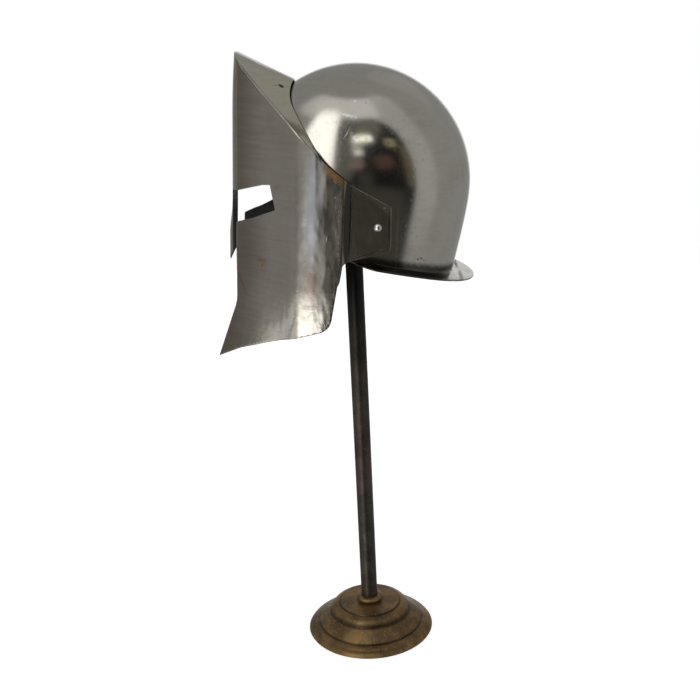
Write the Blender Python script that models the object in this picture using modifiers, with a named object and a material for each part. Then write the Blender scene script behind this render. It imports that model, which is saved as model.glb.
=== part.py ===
"""Steel helmet with a lifting face visor, on a turned display stand.

Run with: blender --background --python part.py
Lengths are metres and +Z is up. The stand stands on z = 0 with its rod on the Z axis. The helmet
faces -X and leans with the empty helmet_pose, in whose frame every helmet shape below is given:
x runs back, y to the helmet's right and z up. The visor turns about the empty visor_hinge.
"""

import bisect
import math

import bmesh
import bpy
from mathutils import Vector

# Helmet placing
HELMET_HEIGHT = 0.548
HELMET_TILT = math.radians(4.4)
STEEL = 0.0015
GAP = 0.0004

# Skull: a dome on a tapering skirt that turns out into a rim
DOME_RADIUS = 0.1233
DOME_HALF_WIDTH = 0.0890
DOME_CENTRE_X = 0.0064
DOME_CENTRE_Z = 0.0033
REAR_FULLNESS = 0.30
SKIRT_TAPER = 0.195
SKIRT_TURN_IN = 0.028
SIDE_TAPER_SHARE = 0.45
RIM_LEVEL = -0.0712
RIM_LEVEL_X = 0.0115
RIM_SLOPE = 0.160
RIM_REAR = {"run": 0.0250, "drop": 0.0055}
RIM_SIDE = {"run": 0.0150, "drop": 0.0040}
RIM_FADE = (math.radians(78), math.radians(90))
RIM_HOLLOW = 0.15
RIM_SIDE_TURN = math.radians(62)
RIM_LEAST_DROP = 0.0012
SKULL_COLUMNS = 34
DOME_ROWS = 12
SKIRT_ROWS = 4
RIM_ROWS = 3

# Visor plan: x, half-width and the radius that rounds the corner, from the nose to the side tab
VISOR_PLAN = (
    {"x": -0.1281, "width": 0.0000, "radius": 0.000},
    {"x": -0.1281, "width": 0.0161, "radius": 0.060},
    {"x": -0.1181, "width": 0.0359, "radius": 0.010},
    {"x": -0.0530, "width": 0.0881, "radius": 0.030},
    {"x": -0.0335, "width": 0.0931, "radius": 0.120},
    {"x": -0.0030, "width": 0.0947, "radius": 0.006},
    {"x": 0.0035, "width": 0.0912, "radius": 0.004},
    {"x": 0.0520, "width": 0.0912, "radius": 0.000},
)
# Upper rear edge of the visor, seen from the side, from the crown down to the tab
VISOR_REAR_EDGE = (
    {"x": -0.0625, "z": 0.1081, "radius": 0.000},
    {"x": -0.0670, "z": 0.0940, "radius": 0.030},
    {"x": -0.0275, "z": 0.0335, "radius": 0.080},
    {"x": 0.0060, "z": 0.0083, "radius": 0.060},
    {"x": 0.0600, "z": -0.0183, "radius": 0.000},
)
# Fold between face plate and roof: its height falls from the peak, and less steeply lower down
FOLD = {"peak_x": -0.1255, "peak_z": 0.1301, "slope": -1.008, "curve": 0.62, "lowest_z": -0.0200}
PEAK_RISE = {"amount": 0.0046, "over": 0.016}
FOLD_BELOW_REAR_EDGE = 0.0008
SIDE_EDGE_STARTS_X = -0.0500
ROOF_OFFSET = 0.0021
ROOF_LEAVES_DOME_X = -0.0340
ROOF_ENDS_X = -0.0262
PEAK_LEAN = {"amount": 0.0031, "from_z": 0.070, "over": 0.062, "width": 0.040}
KEEL = {"amount": 0.0039, "from_z": -0.014, "over": 0.046, "width": 0.015}
# Towards their lower edge the cheeks draw in, from their front part to their rear part
TUCK = {"amount": 0.0038, "from_z": -0.098, "over": 0.060, "most": 1.3, "none_x": -0.100, "full_x": -0.060}
CHEEK_STARTS_BEYOND_CORNER = 0.0022
SHEET_BOTTOM = -0.215
NOSE_ENDS_Z = -0.095
CHIN_STARTS_Z = -0.125
LOWER_LEVELS = (SHEET_BOTTOM, -0.185, -0.162, -0.148, -0.136, CHIN_STARTS_Z, -0.110)
PLATE_LEVELS = (*LOWER_LEVELS, NOSE_ENDS_Z, -0.085, -0.073, -0.061, -0.049, -0.037, -0.025)
ABOVE_EYES_ROWS = 4
ROOF_ROWS = 5
LONGEST_SPAN = 0.011

# Openings in the visor, seen from the side, and the nasal between them, seen from the front
NASAL_HALF_WIDTH = 0.0150
FACE_OPENING = (
    {"x": -0.1500, "z": -0.0173, "radius": 0.0000},
    {"x": -0.1500, "z": -0.2200, "radius": 0.0000},
    {"x": -0.1192, "z": -0.1275, "radius": 0.0400},
    {"x": -0.1207, "z": -0.0600, "radius": 0.1500},
    {"x": -0.1203, "z": -0.0392, "radius": 0.0025},
    {"x": -0.1045, "z": -0.0356, "radius": 0.0400},
    {"x": -0.0736, "z": -0.0208, "radius": 0.0015},
    {"x": -0.0813, "z": 0.0050, "radius": 0.0015},
    {"x": -0.0895, "z": 0.0024, "radius": 0.0300},
)
NASAL_TIP = (
    {"y": -0.0152, "z": -0.0760, "radius": 0.0},
    {"y": 0.0000, "z": -0.0883, "radius": 0.0},
    {"y": 0.0152, "z": -0.0760, "radius": 0.0},
    {"y": 0.0152, "z": -0.2300, "radius": 0.0},
    {"y": -0.0152, "z": -0.2300, "radius": 0.0},
)
# What is trimmed away below and behind the visor: tab, cheek and chin
VISOR_TRIM = (
    {"x": 0.0800, "z": 0.0300, "radius": 0.000},
    {"x": 0.0438, "z": 0.0300, "radius": 0.000},
    {"x": 0.0466, "z": -0.0565, "radius": 0.009},
    {"x": -0.0035, "z": -0.0703, "radius": 0.014},
    {"x": -0.0138, "z": -0.1422, "radius": 0.018},
    {"x": -0.0750, "z": -0.1628, "radius": 0.200},
    {"x": -0.1150, "z": -0.1808, "radius": 0.060},
    {"x": -0.1600, "z": -0.2087, "radius": 0.000},
    {"x": -0.1600, "z": -0.2300, "radius": 0.000},
    {"x": 0.0800, "z": -0.2300, "radius": 0.000},
)
# What is trimmed away of the skull behind the visor, so that the face is open
SKULL_TRIM = (
    {"x": -0.0720, "z": 0.1500, "radius": 0.000},
    {"x": -0.0690, "z": 0.0820, "radius": 0.030},
    {"x": -0.0360, "z": 0.0340, "radius": 0.060},
    {"x": -0.0060, "z": 0.0060, "radius": 0.010},
    {"x": -0.0060, "z": -0.1200, "radius": 0.000},
    {"x": -0.1600, "z": -0.1200, "radius": 0.000},
    {"x": -0.1600, "z": 0.1500, "radius": 0.000},
)
CUT_HALF_DEPTH = 0.130

# Hinge rivets, one each side, radius against distance out from the helmet's middle
HINGE_X = 0.0325
HINGE_Z = -0.0321
RIVET_HOLE_RADIUS = 0.0024
RIVET_HEAD = {"radius": 0.0039, "foot": 0.0916, "height": 0.0025}
RIVET_SHANK = (
    {"radius": 0.0020, "out": 0.0916},
    {"radius": 0.0020, "out": 0.0893},
    {"radius": 0.0050, "out": 0.0893},
    {"radius": 0.0050, "out": 0.0869},
    {"radius": 0.0020, "out": 0.0869},
    {"radius": 0.0020, "out": 0.0829},
    {"radius": 0.0040, "out": 0.0829},
    {"radius": 0.0040, "out": 0.0815},
    {"radius": 0.0000, "out": 0.0815},
)

# Stand
ROD_RADIUS = 0.0098
ROD_FOOT = 0.0361
CAP_RADIUS = 0.030
CAP_FOOT = 0.6543
CAP_TOP = 0.6713
CAP_EDGE = 0.6593
COLLAR = {"radius": 0.0158, "foot": 0.0359, "top": 0.0425, "lip": 0.0015}
# Mouldings of the base from the top down, each from its inner to its outer edge
BASE_MOULDINGS = (
    {"inner": 0.0000, "inner_z": 0.0356, "outer": 0.0366, "outer_z": 0.0344, "bulge": 0.0000},
    {"inner": 0.0374, "inner_z": 0.0330, "outer": 0.0480, "outer_z": 0.0256, "bulge": 0.0018},
    {"inner": 0.0482, "inner_z": 0.0232, "outer": 0.0630, "outer_z": 0.0112, "bulge": 0.0004},
    {"inner": 0.0634, "inner_z": 0.0096, "outer": 0.0700, "outer_z": 0.0062, "bulge": 0.0004},
    {"inner": 0.0700, "inner_z": 0.0062, "outer": 0.0762, "outer_z": 0.0012, "bulge": 0.0008},
)
BASE_FOOT_INSET = 0.0008
TURNED_STEPS = 48
RIVET_STEPS = 24
RIVET_ARC_PIECES = 5
BULGE_PIECES = 5
COLLAR_ARC_PIECES = 8
CAP_ARC_PIECES = 6
ARC_STEP = math.radians(9)
MERGE = 0.00001

STEEL_LOOK = {"color": (0.36, 0.35, 0.32), "metallic": 1.0, "roughness": 0.26}
VISOR_LOOK = {"color": (0.34, 0.33, 0.30), "metallic": 1.0, "roughness": 0.30}
RIVET_LOOK = {"color": (0.62, 0.61, 0.58), "metallic": 1.0, "roughness": 0.20}
BRONZE_LOOK = {"color": (0.085, 0.058, 0.034), "metallic": 0.75, "roughness": 0.48}
ROD_LOOK = {"color": (0.050, 0.042, 0.036), "metallic": 0.80, "roughness": 0.42}


def clear_scene():
    for thing in list(bpy.data.objects):
        bpy.data.objects.remove(thing, do_unlink=True)


def new_collection(name, hidden=False):
    collection = bpy.data.collections.new(name)
    collection.hide_render = hidden
    bpy.context.scene.collection.children.link(collection)
    return collection


def new_material(name, look):
    material = bpy.data.materials.new(name)
    material.use_nodes = True
    shader = material.node_tree.nodes["Principled BSDF"]
    shader.inputs["Base Color"].default_value = (*look["color"], 1.0)
    shader.inputs["Metallic"].default_value = look["metallic"]
    shader.inputs["Roughness"].default_value = look["roughness"]
    return material


def add_empty(collection, name, location, parent=None):
    empty = bpy.data.objects.new(name, None)
    collection.objects.link(empty)
    empty.location = location
    empty.parent = parent
    return empty


def add_object(collection, name, shape, parent=None, look=None):
    """Turns a bmesh into an object, with its own material when a look is given."""
    mesh = bpy.data.meshes.new(name)
    shape.to_mesh(mesh)
    shape.free()
    thing = bpy.data.objects.new(name, mesh)
    collection.objects.link(thing)
    thing.parent = parent
    if look:
        mesh.materials.append(new_material(f"{name}_finish", look))
    return thing


def rounded_line(corners, across, along):
    """The open line through the corners, with each corner that has a radius turned on an arc."""
    points = [Vector((row[across], row[along])) for row in corners]
    line = [points[0]]
    for before, corner, after, row in zip(points, points[1:], points[2:], corners[1:]):
        if not row["radius"]:
            line.append(corner)
            continue
        way_in = (corner - before).normalized()
        way_out = (after - corner).normalized()
        turn = way_in.angle_signed(way_out)
        setback = row["radius"] * math.tan(abs(turn) / 2)
        side = Vector((way_in.y, -way_in.x)) * math.copysign(1, turn)
        centre = corner - way_in * setback + side * row["radius"]
        steps = max(1, math.ceil(abs(turn) / ARC_STEP))
        for step in range(steps + 1):
            angle = abs(turn) * step / steps
            line.append(centre + row["radius"] * (way_in * math.sin(angle) - side * math.cos(angle)))
    line.append(points[-1])
    return [point for point, last in zip(line, [None, *line]) if not last or (point - last).length > GAP]


def split_long_spans(line, longest):
    """The same line with extra points, so that no span is longer than the limit."""
    finer = [line[0]]
    for start, end in zip(line, line[1:]):
        pieces = max(1, math.ceil((end - start).length / longest))
        finer.extend(start.lerp(end, piece / pieces) for piece in range(1, pieces + 1))
    return finer


def travelled(line):
    """Distance along the line to each of its points."""
    distances = [0.0]
    for start, end in zip(line, line[1:]):
        distances.append(distances[-1] + (end - start).length)
    return distances


def read_off(keys, values, key):
    """The value at a key, between the values of the nearest keys. The keys rise."""
    after = min(max(bisect.bisect_left(keys, key), 1), len(keys) - 1)
    share = (key - keys[after - 1]) / (keys[after] - keys[after - 1])
    return values[after - 1] + share * (values[after] - values[after - 1])


def ramp(value, start, end):
    """0 before start and 1 after end, with a smooth step between."""
    share = min(max((value - start) / (end - start), 0.0), 1.0)
    return share * share * (3 - 2 * share)


def sheet(columns, rows, place):
    """A grid of quads whose corners are put where place(column, row) says."""
    shape = bmesh.new()
    bmesh.ops.create_grid(shape, x_segments=columns, y_segments=rows, size=0.5)
    for corner in shape.verts:
        column = round((corner.co.x + 0.5) * columns)
        row = round((corner.co.y + 0.5) * rows)
        corner.co = place(column, row)
    return shape


def add_mirror(thing):
    mirror = thing.modifiers.new("both_sides", "MIRROR")
    mirror.use_axis = (False, True, False)
    mirror.merge_threshold = MERGE


def add_thickness(thing, offset):
    solidify = thing.modifiers.new("steel", "SOLIDIFY")
    solidify.thickness = STEEL
    solidify.offset = offset
    solidify.use_even_offset = True


def cut(thing, cutter):
    boolean = thing.modifiers.new(cutter.name, "BOOLEAN")
    boolean.operation = "DIFFERENCE"
    boolean.solver = "EXACT"
    boolean.object = cutter


def add_prism(cutters, name, corners, near, far, parent, axis="y"):
    """A cutter whose outline is seen along an axis, x or y, and which runs from near to far."""
    outline = rounded_line(corners, "x" if axis == "y" else "y", "z")
    shape = bmesh.new()
    if axis == "y":
        points = [(point.x, near, point.y) for point in outline]
    else:
        points = [(near, point.x, point.y) for point in outline]
    face = shape.faces.new([shape.verts.new(point) for point in points])
    grown = bmesh.ops.extrude_face_region(shape, geom=[face])["geom"]
    moved = [element for element in grown if isinstance(element, bmesh.types.BMVert)]
    step = (0, far - near, 0) if axis == "y" else (far - near, 0, 0)
    bmesh.ops.translate(shape, verts=moved, vec=step)
    bmesh.ops.recalc_face_normals(shape, faces=shape.faces)
    cutter = add_object(cutters, name, shape, parent)
    cutter.display_type = "WIRE"
    cutter.hide_render = True
    return cutter


def add_drill(cutters, parent):
    """A rod along the hinge axis, which drills the rivet holes."""
    shape = bmesh.new()
    bmesh.ops.create_cone(
        shape,
        cap_ends=True,
        segments=32,
        radius1=RIVET_HOLE_RADIUS,
        radius2=RIVET_HOLE_RADIUS,
        depth=2 * CUT_HALF_DEPTH,
    )
    drill = add_object(cutters, "rivet_drill", shape, parent)
    drill.rotation_euler = (math.pi / 2, 0, 0)
    drill.display_type = "WIRE"
    drill.hide_render = True
    return drill


def add_turned(collection, name, profile, look, parent=None):
    """A solid turned about its own Z. The profile's points are (radius, height), top to bottom."""
    shape = bmesh.new()
    points = [shape.verts.new((radius, 0, height)) for radius, height in profile]
    for start, end in zip(points, points[1:]):
        shape.edges.new((start, end))
    if profile[0][0] > 0:
        shape.edges.new((points[-1], points[0]))
    thing = add_object(collection, name, shape, parent, look)
    screw = thing.modifiers.new("turned", "SCREW")
    screw.steps = TURNED_STEPS
    screw.render_steps = TURNED_STEPS
    screw.use_merge_vertices = True
    screw.merge_threshold = MERGE
    return thing


def skirt_inset(z):
    """How far the skirt has drawn in at a height below the dome's widest level."""
    depth = max(DOME_CENTRE_Z - z, 0.0)
    return SKIRT_TAPER * (math.hypot(depth, SKIRT_TURN_IN) - SKIRT_TURN_IN)


def skull_section(turn, size, inset, fullness):
    """The skull's outline at a level: turn is 0 at the rear and pi at the front."""
    rearward = max(math.cos(turn), 0.0)
    length = DOME_RADIUS * size - inset
    width = DOME_HALF_WIDTH * size - SIDE_TAPER_SHARE * inset
    x = DOME_CENTRE_X + length * math.cos(turn)
    return Vector((x, width * math.sin(turn) * (1 + fullness * rearward**3)))


def rim_size(turn):
    """The rim's run outward and drop: widest at the rear, and gone before the face opening."""
    side = ramp(turn, 0.0, RIM_SIDE_TURN)
    fade = 1 - ramp(turn, *RIM_FADE)
    run = fade * (RIM_REAR["run"] + side * (RIM_SIDE["run"] - RIM_REAR["run"]))
    drop = fade * (RIM_REAR["drop"] + side * (RIM_SIDE["drop"] - RIM_REAR["drop"]))
    return run, max(drop, RIM_LEAST_DROP)


def skull_corner(column, row):
    """A corner of the skull's outer surface on its right side, from the crown down to the rim."""
    turn = math.pi * column / SKULL_COLUMNS
    if row <= DOME_ROWS:
        fall = math.pi / 2 * row / DOME_ROWS
        fullness = REAR_FULLNESS * math.sin(fall) ** 2
        section = skull_section(turn, math.sin(fall), 0.0, fullness)
        return Vector((section.x, section.y, DOME_CENTRE_Z + DOME_RADIUS * math.cos(fall)))
    run, drop = rim_size(turn)
    widest = skull_section(turn, 1.0, 0.0, REAR_FULLNESS)
    rim_edge_x = widest.x + run * math.cos(turn)
    rim_edge_z = RIM_LEVEL - RIM_SLOPE * (rim_edge_x - RIM_LEVEL_X)
    skirt_end_z = rim_edge_z + drop
    down_skirt = min((row - DOME_ROWS) / SKIRT_ROWS, 1.0)
    along_rim = max((row - DOME_ROWS - SKIRT_ROWS) / RIM_ROWS, 0.0)
    z = DOME_CENTRE_Z + down_skirt * (skirt_end_z - DOME_CENTRE_Z) - drop * along_rim
    section = skull_section(turn, 1.0, skirt_inset(z), REAR_FULLNESS)
    outward = Vector((math.cos(turn), math.sin(turn)))
    section += outward * run * along_rim * (1 - RIM_HOLLOW * (1 - along_rim))
    return Vector((section.x, section.y, z))


def add_skull(parts, cutters, pose):
    shape = sheet(SKULL_COLUMNS, DOME_ROWS + SKIRT_ROWS + RIM_ROWS, skull_corner)
    bmesh.ops.remove_doubles(shape, verts=shape.verts, dist=MERGE)
    skull = add_object(parts, "skull", shape, pose, STEEL_LOOK)
    add_mirror(skull)
    add_thickness(skull, 1)
    face = add_prism(cutters, "skull_trim", SKULL_TRIM, -CUT_HALF_DEPTH, CUT_HALF_DEPTH, pose)
    cut(skull, face)
    return skull


def dome_half_width(x, z, offset):
    """Half-width, at a point seen from the side, of the dome grown by an offset."""
    reach = math.hypot(x - DOME_CENTRE_X, z - DOME_CENTRE_Z) / (DOME_RADIUS + offset)
    return (DOME_HALF_WIDTH + offset) * math.sqrt(max(1 - reach * reach, 0.0))


class VisorShape:
    """The outer surface of the visor's right half, as columns round the face and rows up it."""

    def __init__(self):
        self.plan = split_long_spans(rounded_line(VISOR_PLAN, "x", "width"), LONGEST_SPAN)
        self.plan_run = travelled(self.plan)
        self.columns = len(self.plan) - 1
        self.rows = len(PLATE_LEVELS) - 1 + ABOVE_EYES_ROWS + ROOF_ROWS
        side_edge = split_long_spans(rounded_line(VISOR_REAR_EDGE, "x", "z"), LONGEST_SPAN / 2)
        low_enough = [point for point in side_edge if point.y < FOLD["peak_z"] / 2]
        self.side_edge = [point for point in low_enough if point.x > SIDE_EDGE_STARTS_X]
        self.roof_edge = [self.over_dome(point) for point in side_edge if point.x < ROOF_ENDS_X]
        self.roof_edge[0].y = 0.0
        self.roof_edge_run = travelled(self.roof_edge)
        self.roof_end_run = self.by_x(self.plan_run, ROOF_ENDS_X)
        self.cheek_start = Vector((VISOR_PLAN[2]["x"], VISOR_PLAN[2]["width"]))
        self.cheek_way = Vector((VISOR_PLAN[3]["x"], VISOR_PLAN[3]["width"])) - self.cheek_start
        self.cheek_way.normalize()
        self.cheek_start += self.cheek_way * CHEEK_STARTS_BEYOND_CORNER
        self.cheek_start_run = self.by_x(self.plan_run, self.cheek_start.x)

    def by_x(self, values, x):
        """Reads values, one for each column, off at a place along the helmet."""
        return read_off([point.x for point in self.plan], values, x)

    def side_edge_z(self, x):
        """Height of the visor's rear edge at a place along the helmet, where the plate reaches it."""
        return read_off([point.x for point in self.side_edge], [point.y for point in self.side_edge], x)

    def fold_z(self, x):
        """Height of the fold between the face plate and the roof, which runs out flat along the tab."""
        run = x - FOLD["peak_x"]
        z = FOLD["peak_z"] + FOLD["slope"] * run + FOLD["curve"] * run * run
        z += PEAK_RISE["amount"] * max(1 - run / PEAK_RISE["over"], 0.0) ** 2
        if x > SIDE_EDGE_STARTS_X:
            z = min(z, self.side_edge_z(x) - FOLD_BELOW_REAR_EDGE)
        return max(z, FOLD["lowest_z"])

    def over_dome(self, point):
        """A point of the roof's rear edge: close over the dome, then out to the face plate."""
        on_dome = dome_half_width(point.x, point.y, ROOF_OFFSET)
        on_plate = self.by_x([spot.y for spot in self.plan], point.x)
        share = ramp(point.x, ROOF_LEAVES_DOME_X, ROOF_ENDS_X)
        return Vector((point.x, on_dome + share * (on_plate - on_dome), point.y))

    def plate_corner(self, column, z):
        """A corner of the face plate: the nose above, and the flat cheeks drawn forward below."""
        spot = self.plan[column].copy()
        below_nose = ramp(-z, -NOSE_ENDS_Z, -CHIN_STARTS_Z)
        if spot.x < self.cheek_start.x:
            drawn = self.cheek_start - self.cheek_way * (self.cheek_start_run - self.plan_run[column])
            spot = spot.lerp(drawn, below_nose)
        lean = min(max((z - PEAK_LEAN["from_z"]) / PEAK_LEAN["over"], 0.0), 1.0) ** 2
        keel = ramp(KEEL["from_z"] - z, 0.0, KEEL["over"]) * (1 - below_nose)
        spot.x += PEAK_LEAN["amount"] * lean * max(1 - spot.y / PEAK_LEAN["width"], 0.0)
        spot.x -= KEEL["amount"] * keel * max(1 - spot.y / KEEL["width"], 0.0)
        tuck = min(max((TUCK["from_z"] - z) / TUCK["over"], 0.0), TUCK["most"]) ** 2
        spot.y -= TUCK["amount"] * tuck * ramp(spot.x, TUCK["none_x"], TUCK["full_x"])
        return Vector((spot.x, spot.y, z))

    def rear_corner(self, column):
        """Where a column ends: on the roof's rear edge, or further back on the tab's upper edge."""
        spot = self.plan[column]
        if spot.x > ROOF_ENDS_X:
            return Vector((spot.x, spot.y, self.side_edge_z(spot.x)))
        run = self.roof_edge_run[-1] * self.plan_run[column] / self.roof_end_run
        return read_off(self.roof_edge_run, self.roof_edge, run)

    def corner(self, column, row):
        plate_rows = len(PLATE_LEVELS) - 1
        if row <= plate_rows:
            return self.plate_corner(column, PLATE_LEVELS[row])
        fold = self.plate_corner(column, self.fold_z(self.plan[column].x))
        fold.z = self.fold_z(fold.x)
        above_eyes = (row - plate_rows) / ABOVE_EYES_ROWS
        if above_eyes <= 1:
            return self.plate_corner(column, PLATE_LEVELS[-1]).lerp(fold, above_eyes)
        return fold.lerp(self.rear_corner(column), (row - plate_rows - ABOVE_EYES_ROWS) / ROOF_ROWS)


def add_visor(parts, cutters, pose, hinge):
    shape = VisorShape()
    half = sheet(shape.columns, shape.rows, shape.corner)
    bmesh.ops.translate(half, verts=half.verts, vec=(-HINGE_X, 0, -HINGE_Z))
    visor = add_object(parts, "visor", half, hinge, VISOR_LOOK)
    add_mirror(visor)
    add_thickness(visor, 1)
    depth = (-CUT_HALF_DEPTH, CUT_HALF_DEPTH)
    cut(visor, add_prism(cutters, "visor_trim", VISOR_TRIM, *depth, pose))
    for side, name in ((-1, "left_face_opening"), (1, "right_face_opening")):
        reach = (side * NASAL_HALF_WIDTH, side * CUT_HALF_DEPTH)
        cut(visor, add_prism(cutters, name, FACE_OPENING, *reach, pose))
    cut(visor, add_prism(cutters, "below_nasal", NASAL_TIP, -0.160, -0.100, pose, axis="x"))
    return visor


def add_rivet(parts, name, side, hinge):
    """A rivet turned about the hinge axis, with its domed head on the outside."""
    radius, height = RIVET_HEAD["radius"], RIVET_HEAD["height"]
    profile = []
    for piece in range(RIVET_ARC_PIECES + 1):
        angle = math.pi / 2 * piece / RIVET_ARC_PIECES
        profile.append((radius * math.sin(angle), RIVET_HEAD["foot"] + height * math.cos(angle)))
    profile.extend((row["radius"], row["out"]) for row in RIVET_SHANK)
    rivet = add_turned(parts, name, profile, RIVET_LOOK, hinge)
    rivet.modifiers["turned"].steps = rivet.modifiers["turned"].render_steps = RIVET_STEPS
    rivet.rotation_euler = (-side * math.pi / 2, 0, 0)
    return rivet


def base_profile():
    """The turned base from its middle out and down: each moulding swells a little between its edges."""
    profile = []
    for moulding in BASE_MOULDINGS:
        start = Vector((moulding["inner"], moulding["inner_z"]))
        end = Vector((moulding["outer"], moulding["outer_z"]))
        outward = Vector((start.y - end.y, end.x - start.x)).normalized()
        steps = BULGE_PIECES if moulding["bulge"] else 1
        for step in range(steps + 1):
            swell = moulding["bulge"] * math.sin(math.pi * step / steps)
            profile.append(tuple(start.lerp(end, step / steps) + outward * swell))
    rim = BASE_MOULDINGS[-1]["outer"]
    return [*profile, (rim - BASE_FOOT_INSET, 0.0), (0.0, 0.0)]


def collar_profile():
    """A bead round the rod's foot: half round outside, straight inside."""
    inside = ROD_RADIUS + GAP
    middle = (COLLAR["foot"] + COLLAR["top"]) / 2
    half_height = (COLLAR["top"] - COLLAR["foot"]) / 2
    swell = COLLAR["radius"] - inside - COLLAR["lip"]
    profile = [(inside, COLLAR["top"])]
    for piece in range(COLLAR_ARC_PIECES + 1):
        angle = math.pi * piece / COLLAR_ARC_PIECES
        radius = inside + COLLAR["lip"] + swell * math.sin(angle)
        profile.append((radius, middle + half_height * math.cos(angle)))
    profile.append((inside, COLLAR["foot"]))
    return profile


def rod_profile():
    """The rod and, hidden in the helmet, the domed cap that carries it."""
    profile = []
    for piece in range(CAP_ARC_PIECES + 1):
        angle = math.pi / 2 * piece / CAP_ARC_PIECES
        height = CAP_EDGE + (CAP_TOP - CAP_EDGE) * math.cos(angle)
        profile.append((CAP_RADIUS * math.sin(angle), height))
    profile.extend(((ROD_RADIUS, CAP_FOOT), (ROD_RADIUS, ROD_FOOT), (0.0, ROD_FOOT)))
    return profile


def main():
    clear_scene()
    parts = new_collection("helmet_on_stand")
    cutters = new_collection("cutters", hidden=True)
    add_turned(parts, "stand_base", base_profile(), BRONZE_LOOK)
    add_turned(parts, "rod_collar", collar_profile(), BRONZE_LOOK)
    add_turned(parts, "support_rod", rod_profile(), ROD_LOOK)
    pose = add_empty(parts, "helmet_pose", (0, 0, HELMET_HEIGHT))
    pose.rotation_euler = (0, HELMET_TILT, 0)
    hinge = add_empty(parts, "visor_hinge", (HINGE_X, 0, HINGE_Z), pose)
    skull = add_skull(parts, cutters, pose)
    visor = add_visor(parts, cutters, pose, hinge)
    drill = add_drill(cutters, hinge)
    cut(skull, drill)
    cut(visor, drill)
    for side, name in ((-1, "left_rivet"), (1, "right_rivet")):
        add_rivet(parts, name, side, hinge)


if __name__ == "__main__":
    main()
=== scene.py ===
"""A visored war helmet on its turned stand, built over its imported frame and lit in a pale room."""

import bisect
import logging
import math
from dataclasses import dataclass, field
from enum import Enum
from typing import Any, Callable, Sequence

import bmesh
import bpy
from mathutils import Matrix, Vector
from mathutils.bvhtree import BVHTree


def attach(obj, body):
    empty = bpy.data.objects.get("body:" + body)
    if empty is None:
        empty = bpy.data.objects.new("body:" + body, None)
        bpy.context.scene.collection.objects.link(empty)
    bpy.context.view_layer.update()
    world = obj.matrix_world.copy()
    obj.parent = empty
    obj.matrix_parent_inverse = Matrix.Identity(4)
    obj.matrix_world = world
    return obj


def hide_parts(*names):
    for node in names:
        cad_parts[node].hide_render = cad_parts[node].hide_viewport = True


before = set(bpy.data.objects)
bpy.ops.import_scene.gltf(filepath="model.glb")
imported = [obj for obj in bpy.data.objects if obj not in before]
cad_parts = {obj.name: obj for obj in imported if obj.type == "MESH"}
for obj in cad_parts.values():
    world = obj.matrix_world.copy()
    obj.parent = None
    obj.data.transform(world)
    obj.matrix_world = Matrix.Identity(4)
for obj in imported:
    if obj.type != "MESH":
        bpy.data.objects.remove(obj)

LOG = logging.getLogger("helmet")
GAP = 0.0003
HELMET_HEIGHT = 0.548
HELMET_TILT = math.radians(4.4)
HELMET_POSE = Matrix.Translation((0, 0, HELMET_HEIGHT)) @ Matrix.Rotation(HELMET_TILT, 4, "Y")
STEEL = 0.0015
ARC_STEP = math.radians(6)
SEAM = 0.00001
TURNED_CREASE = math.radians(38)
Colour = tuple[float, float, float]


class Side(Enum):
    """The axis that an outline is seen along."""

    FLANK = "y"
    FRONT = "x"


class Body(Enum):
    """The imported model's moving bodies."""

    STAND = "helmet_and_stand"
    VISOR = "visor"


@dataclass(frozen=True)
class Corner:
    """A corner of an outline, and the radius that rounds it."""

    along: float
    up: float
    radius: float = 0.0

    @property
    def spot(self) -> Vector:
        """The corner's place in its plane."""
        return Vector((self.along, self.up))


# ---------------------------------------------------------------- lines and numbers


def ramp(value: float, start: float, end: float) -> float:
    """A smooth step.

    Args:
        value: where on the way it is read.
        start: where the step begins.
        end: where the step ends.

    Returns:
        0 before start, 1 after end, and between them in between.
    """
    share = min(max((value - start) / (end - start), 0.0), 1.0)
    return share * share * (3 - 2 * share)


def rounded_line(corners: Sequence[Corner], arc_step: float) -> list[Vector]:
    """The open line through the corners, turned on an arc at each corner that has a radius.

    Args:
        corners: the corners in order.
        arc_step: the angle between two points of an arc.

    Returns:
        The line's points, none of them doubled.
    """
    points = [corner.spot for corner in corners]
    line = [points[0]]
    for before, spot, after, corner in zip(points, points[1:], points[2:], corners[1:]):
        if not corner.radius:
            line.append(spot)
            continue
        way_in = (spot - before).normalized()
        way_out = (after - spot).normalized()
        turn = way_in.angle_signed(way_out)
        setback = corner.radius * math.tan(abs(turn) / 2)
        side = Vector((way_in.y, -way_in.x)) * math.copysign(1, turn)
        centre = spot - way_in * setback + side * corner.radius
        steps = max(1, math.ceil(abs(turn) / arc_step))
        for step in range(steps + 1):
            angle = abs(turn) * step / steps
            line.append(centre + corner.radius * (way_in * math.sin(angle) - side * math.cos(angle)))
    line.append(points[-1])
    return [spot for spot, last in zip(line, [None, *line]) if not last or (spot - last).length > GAP]


def split_long_spans(line: Sequence[Vector], longest: float) -> list[Vector]:
    """The same line with extra points, so that no span is longer than the limit.

    Args:
        line: the points of the line.
        longest: the longest span that stays whole.

    Returns:
        The finer line.
    """
    finer = [line[0]]
    for start, end in zip(line, line[1:]):
        pieces = max(1, math.ceil((end - start).length / longest))
        finer.extend(start.lerp(end, piece / pieces) for piece in range(1, pieces + 1))
    return finer


def travelled(line: Sequence[Vector]) -> list[float]:
    """Distance along a line.

    Args:
        line: the points of the line.

    Returns:
        The distance from the first point to each point.
    """
    distances = [0.0]
    for start, end in zip(line, line[1:]):
        distances.append(distances[-1] + (end - start).length)
    return distances


def read_off(keys: Sequence[float], values: Sequence[Any], key: float) -> Any:
    """The value at a key, between the values of the nearest keys.

    Args:
        keys: rising numbers.
        values: a number or vector for each key.
        key: where to read.

    Returns:
        The value there.
    """
    after = min(max(bisect.bisect_left(keys, key), 1), len(keys) - 1)
    share = (key - keys[after - 1]) / (keys[after] - keys[after - 1])
    return values[after - 1] + share * (values[after] - values[after - 1])


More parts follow.
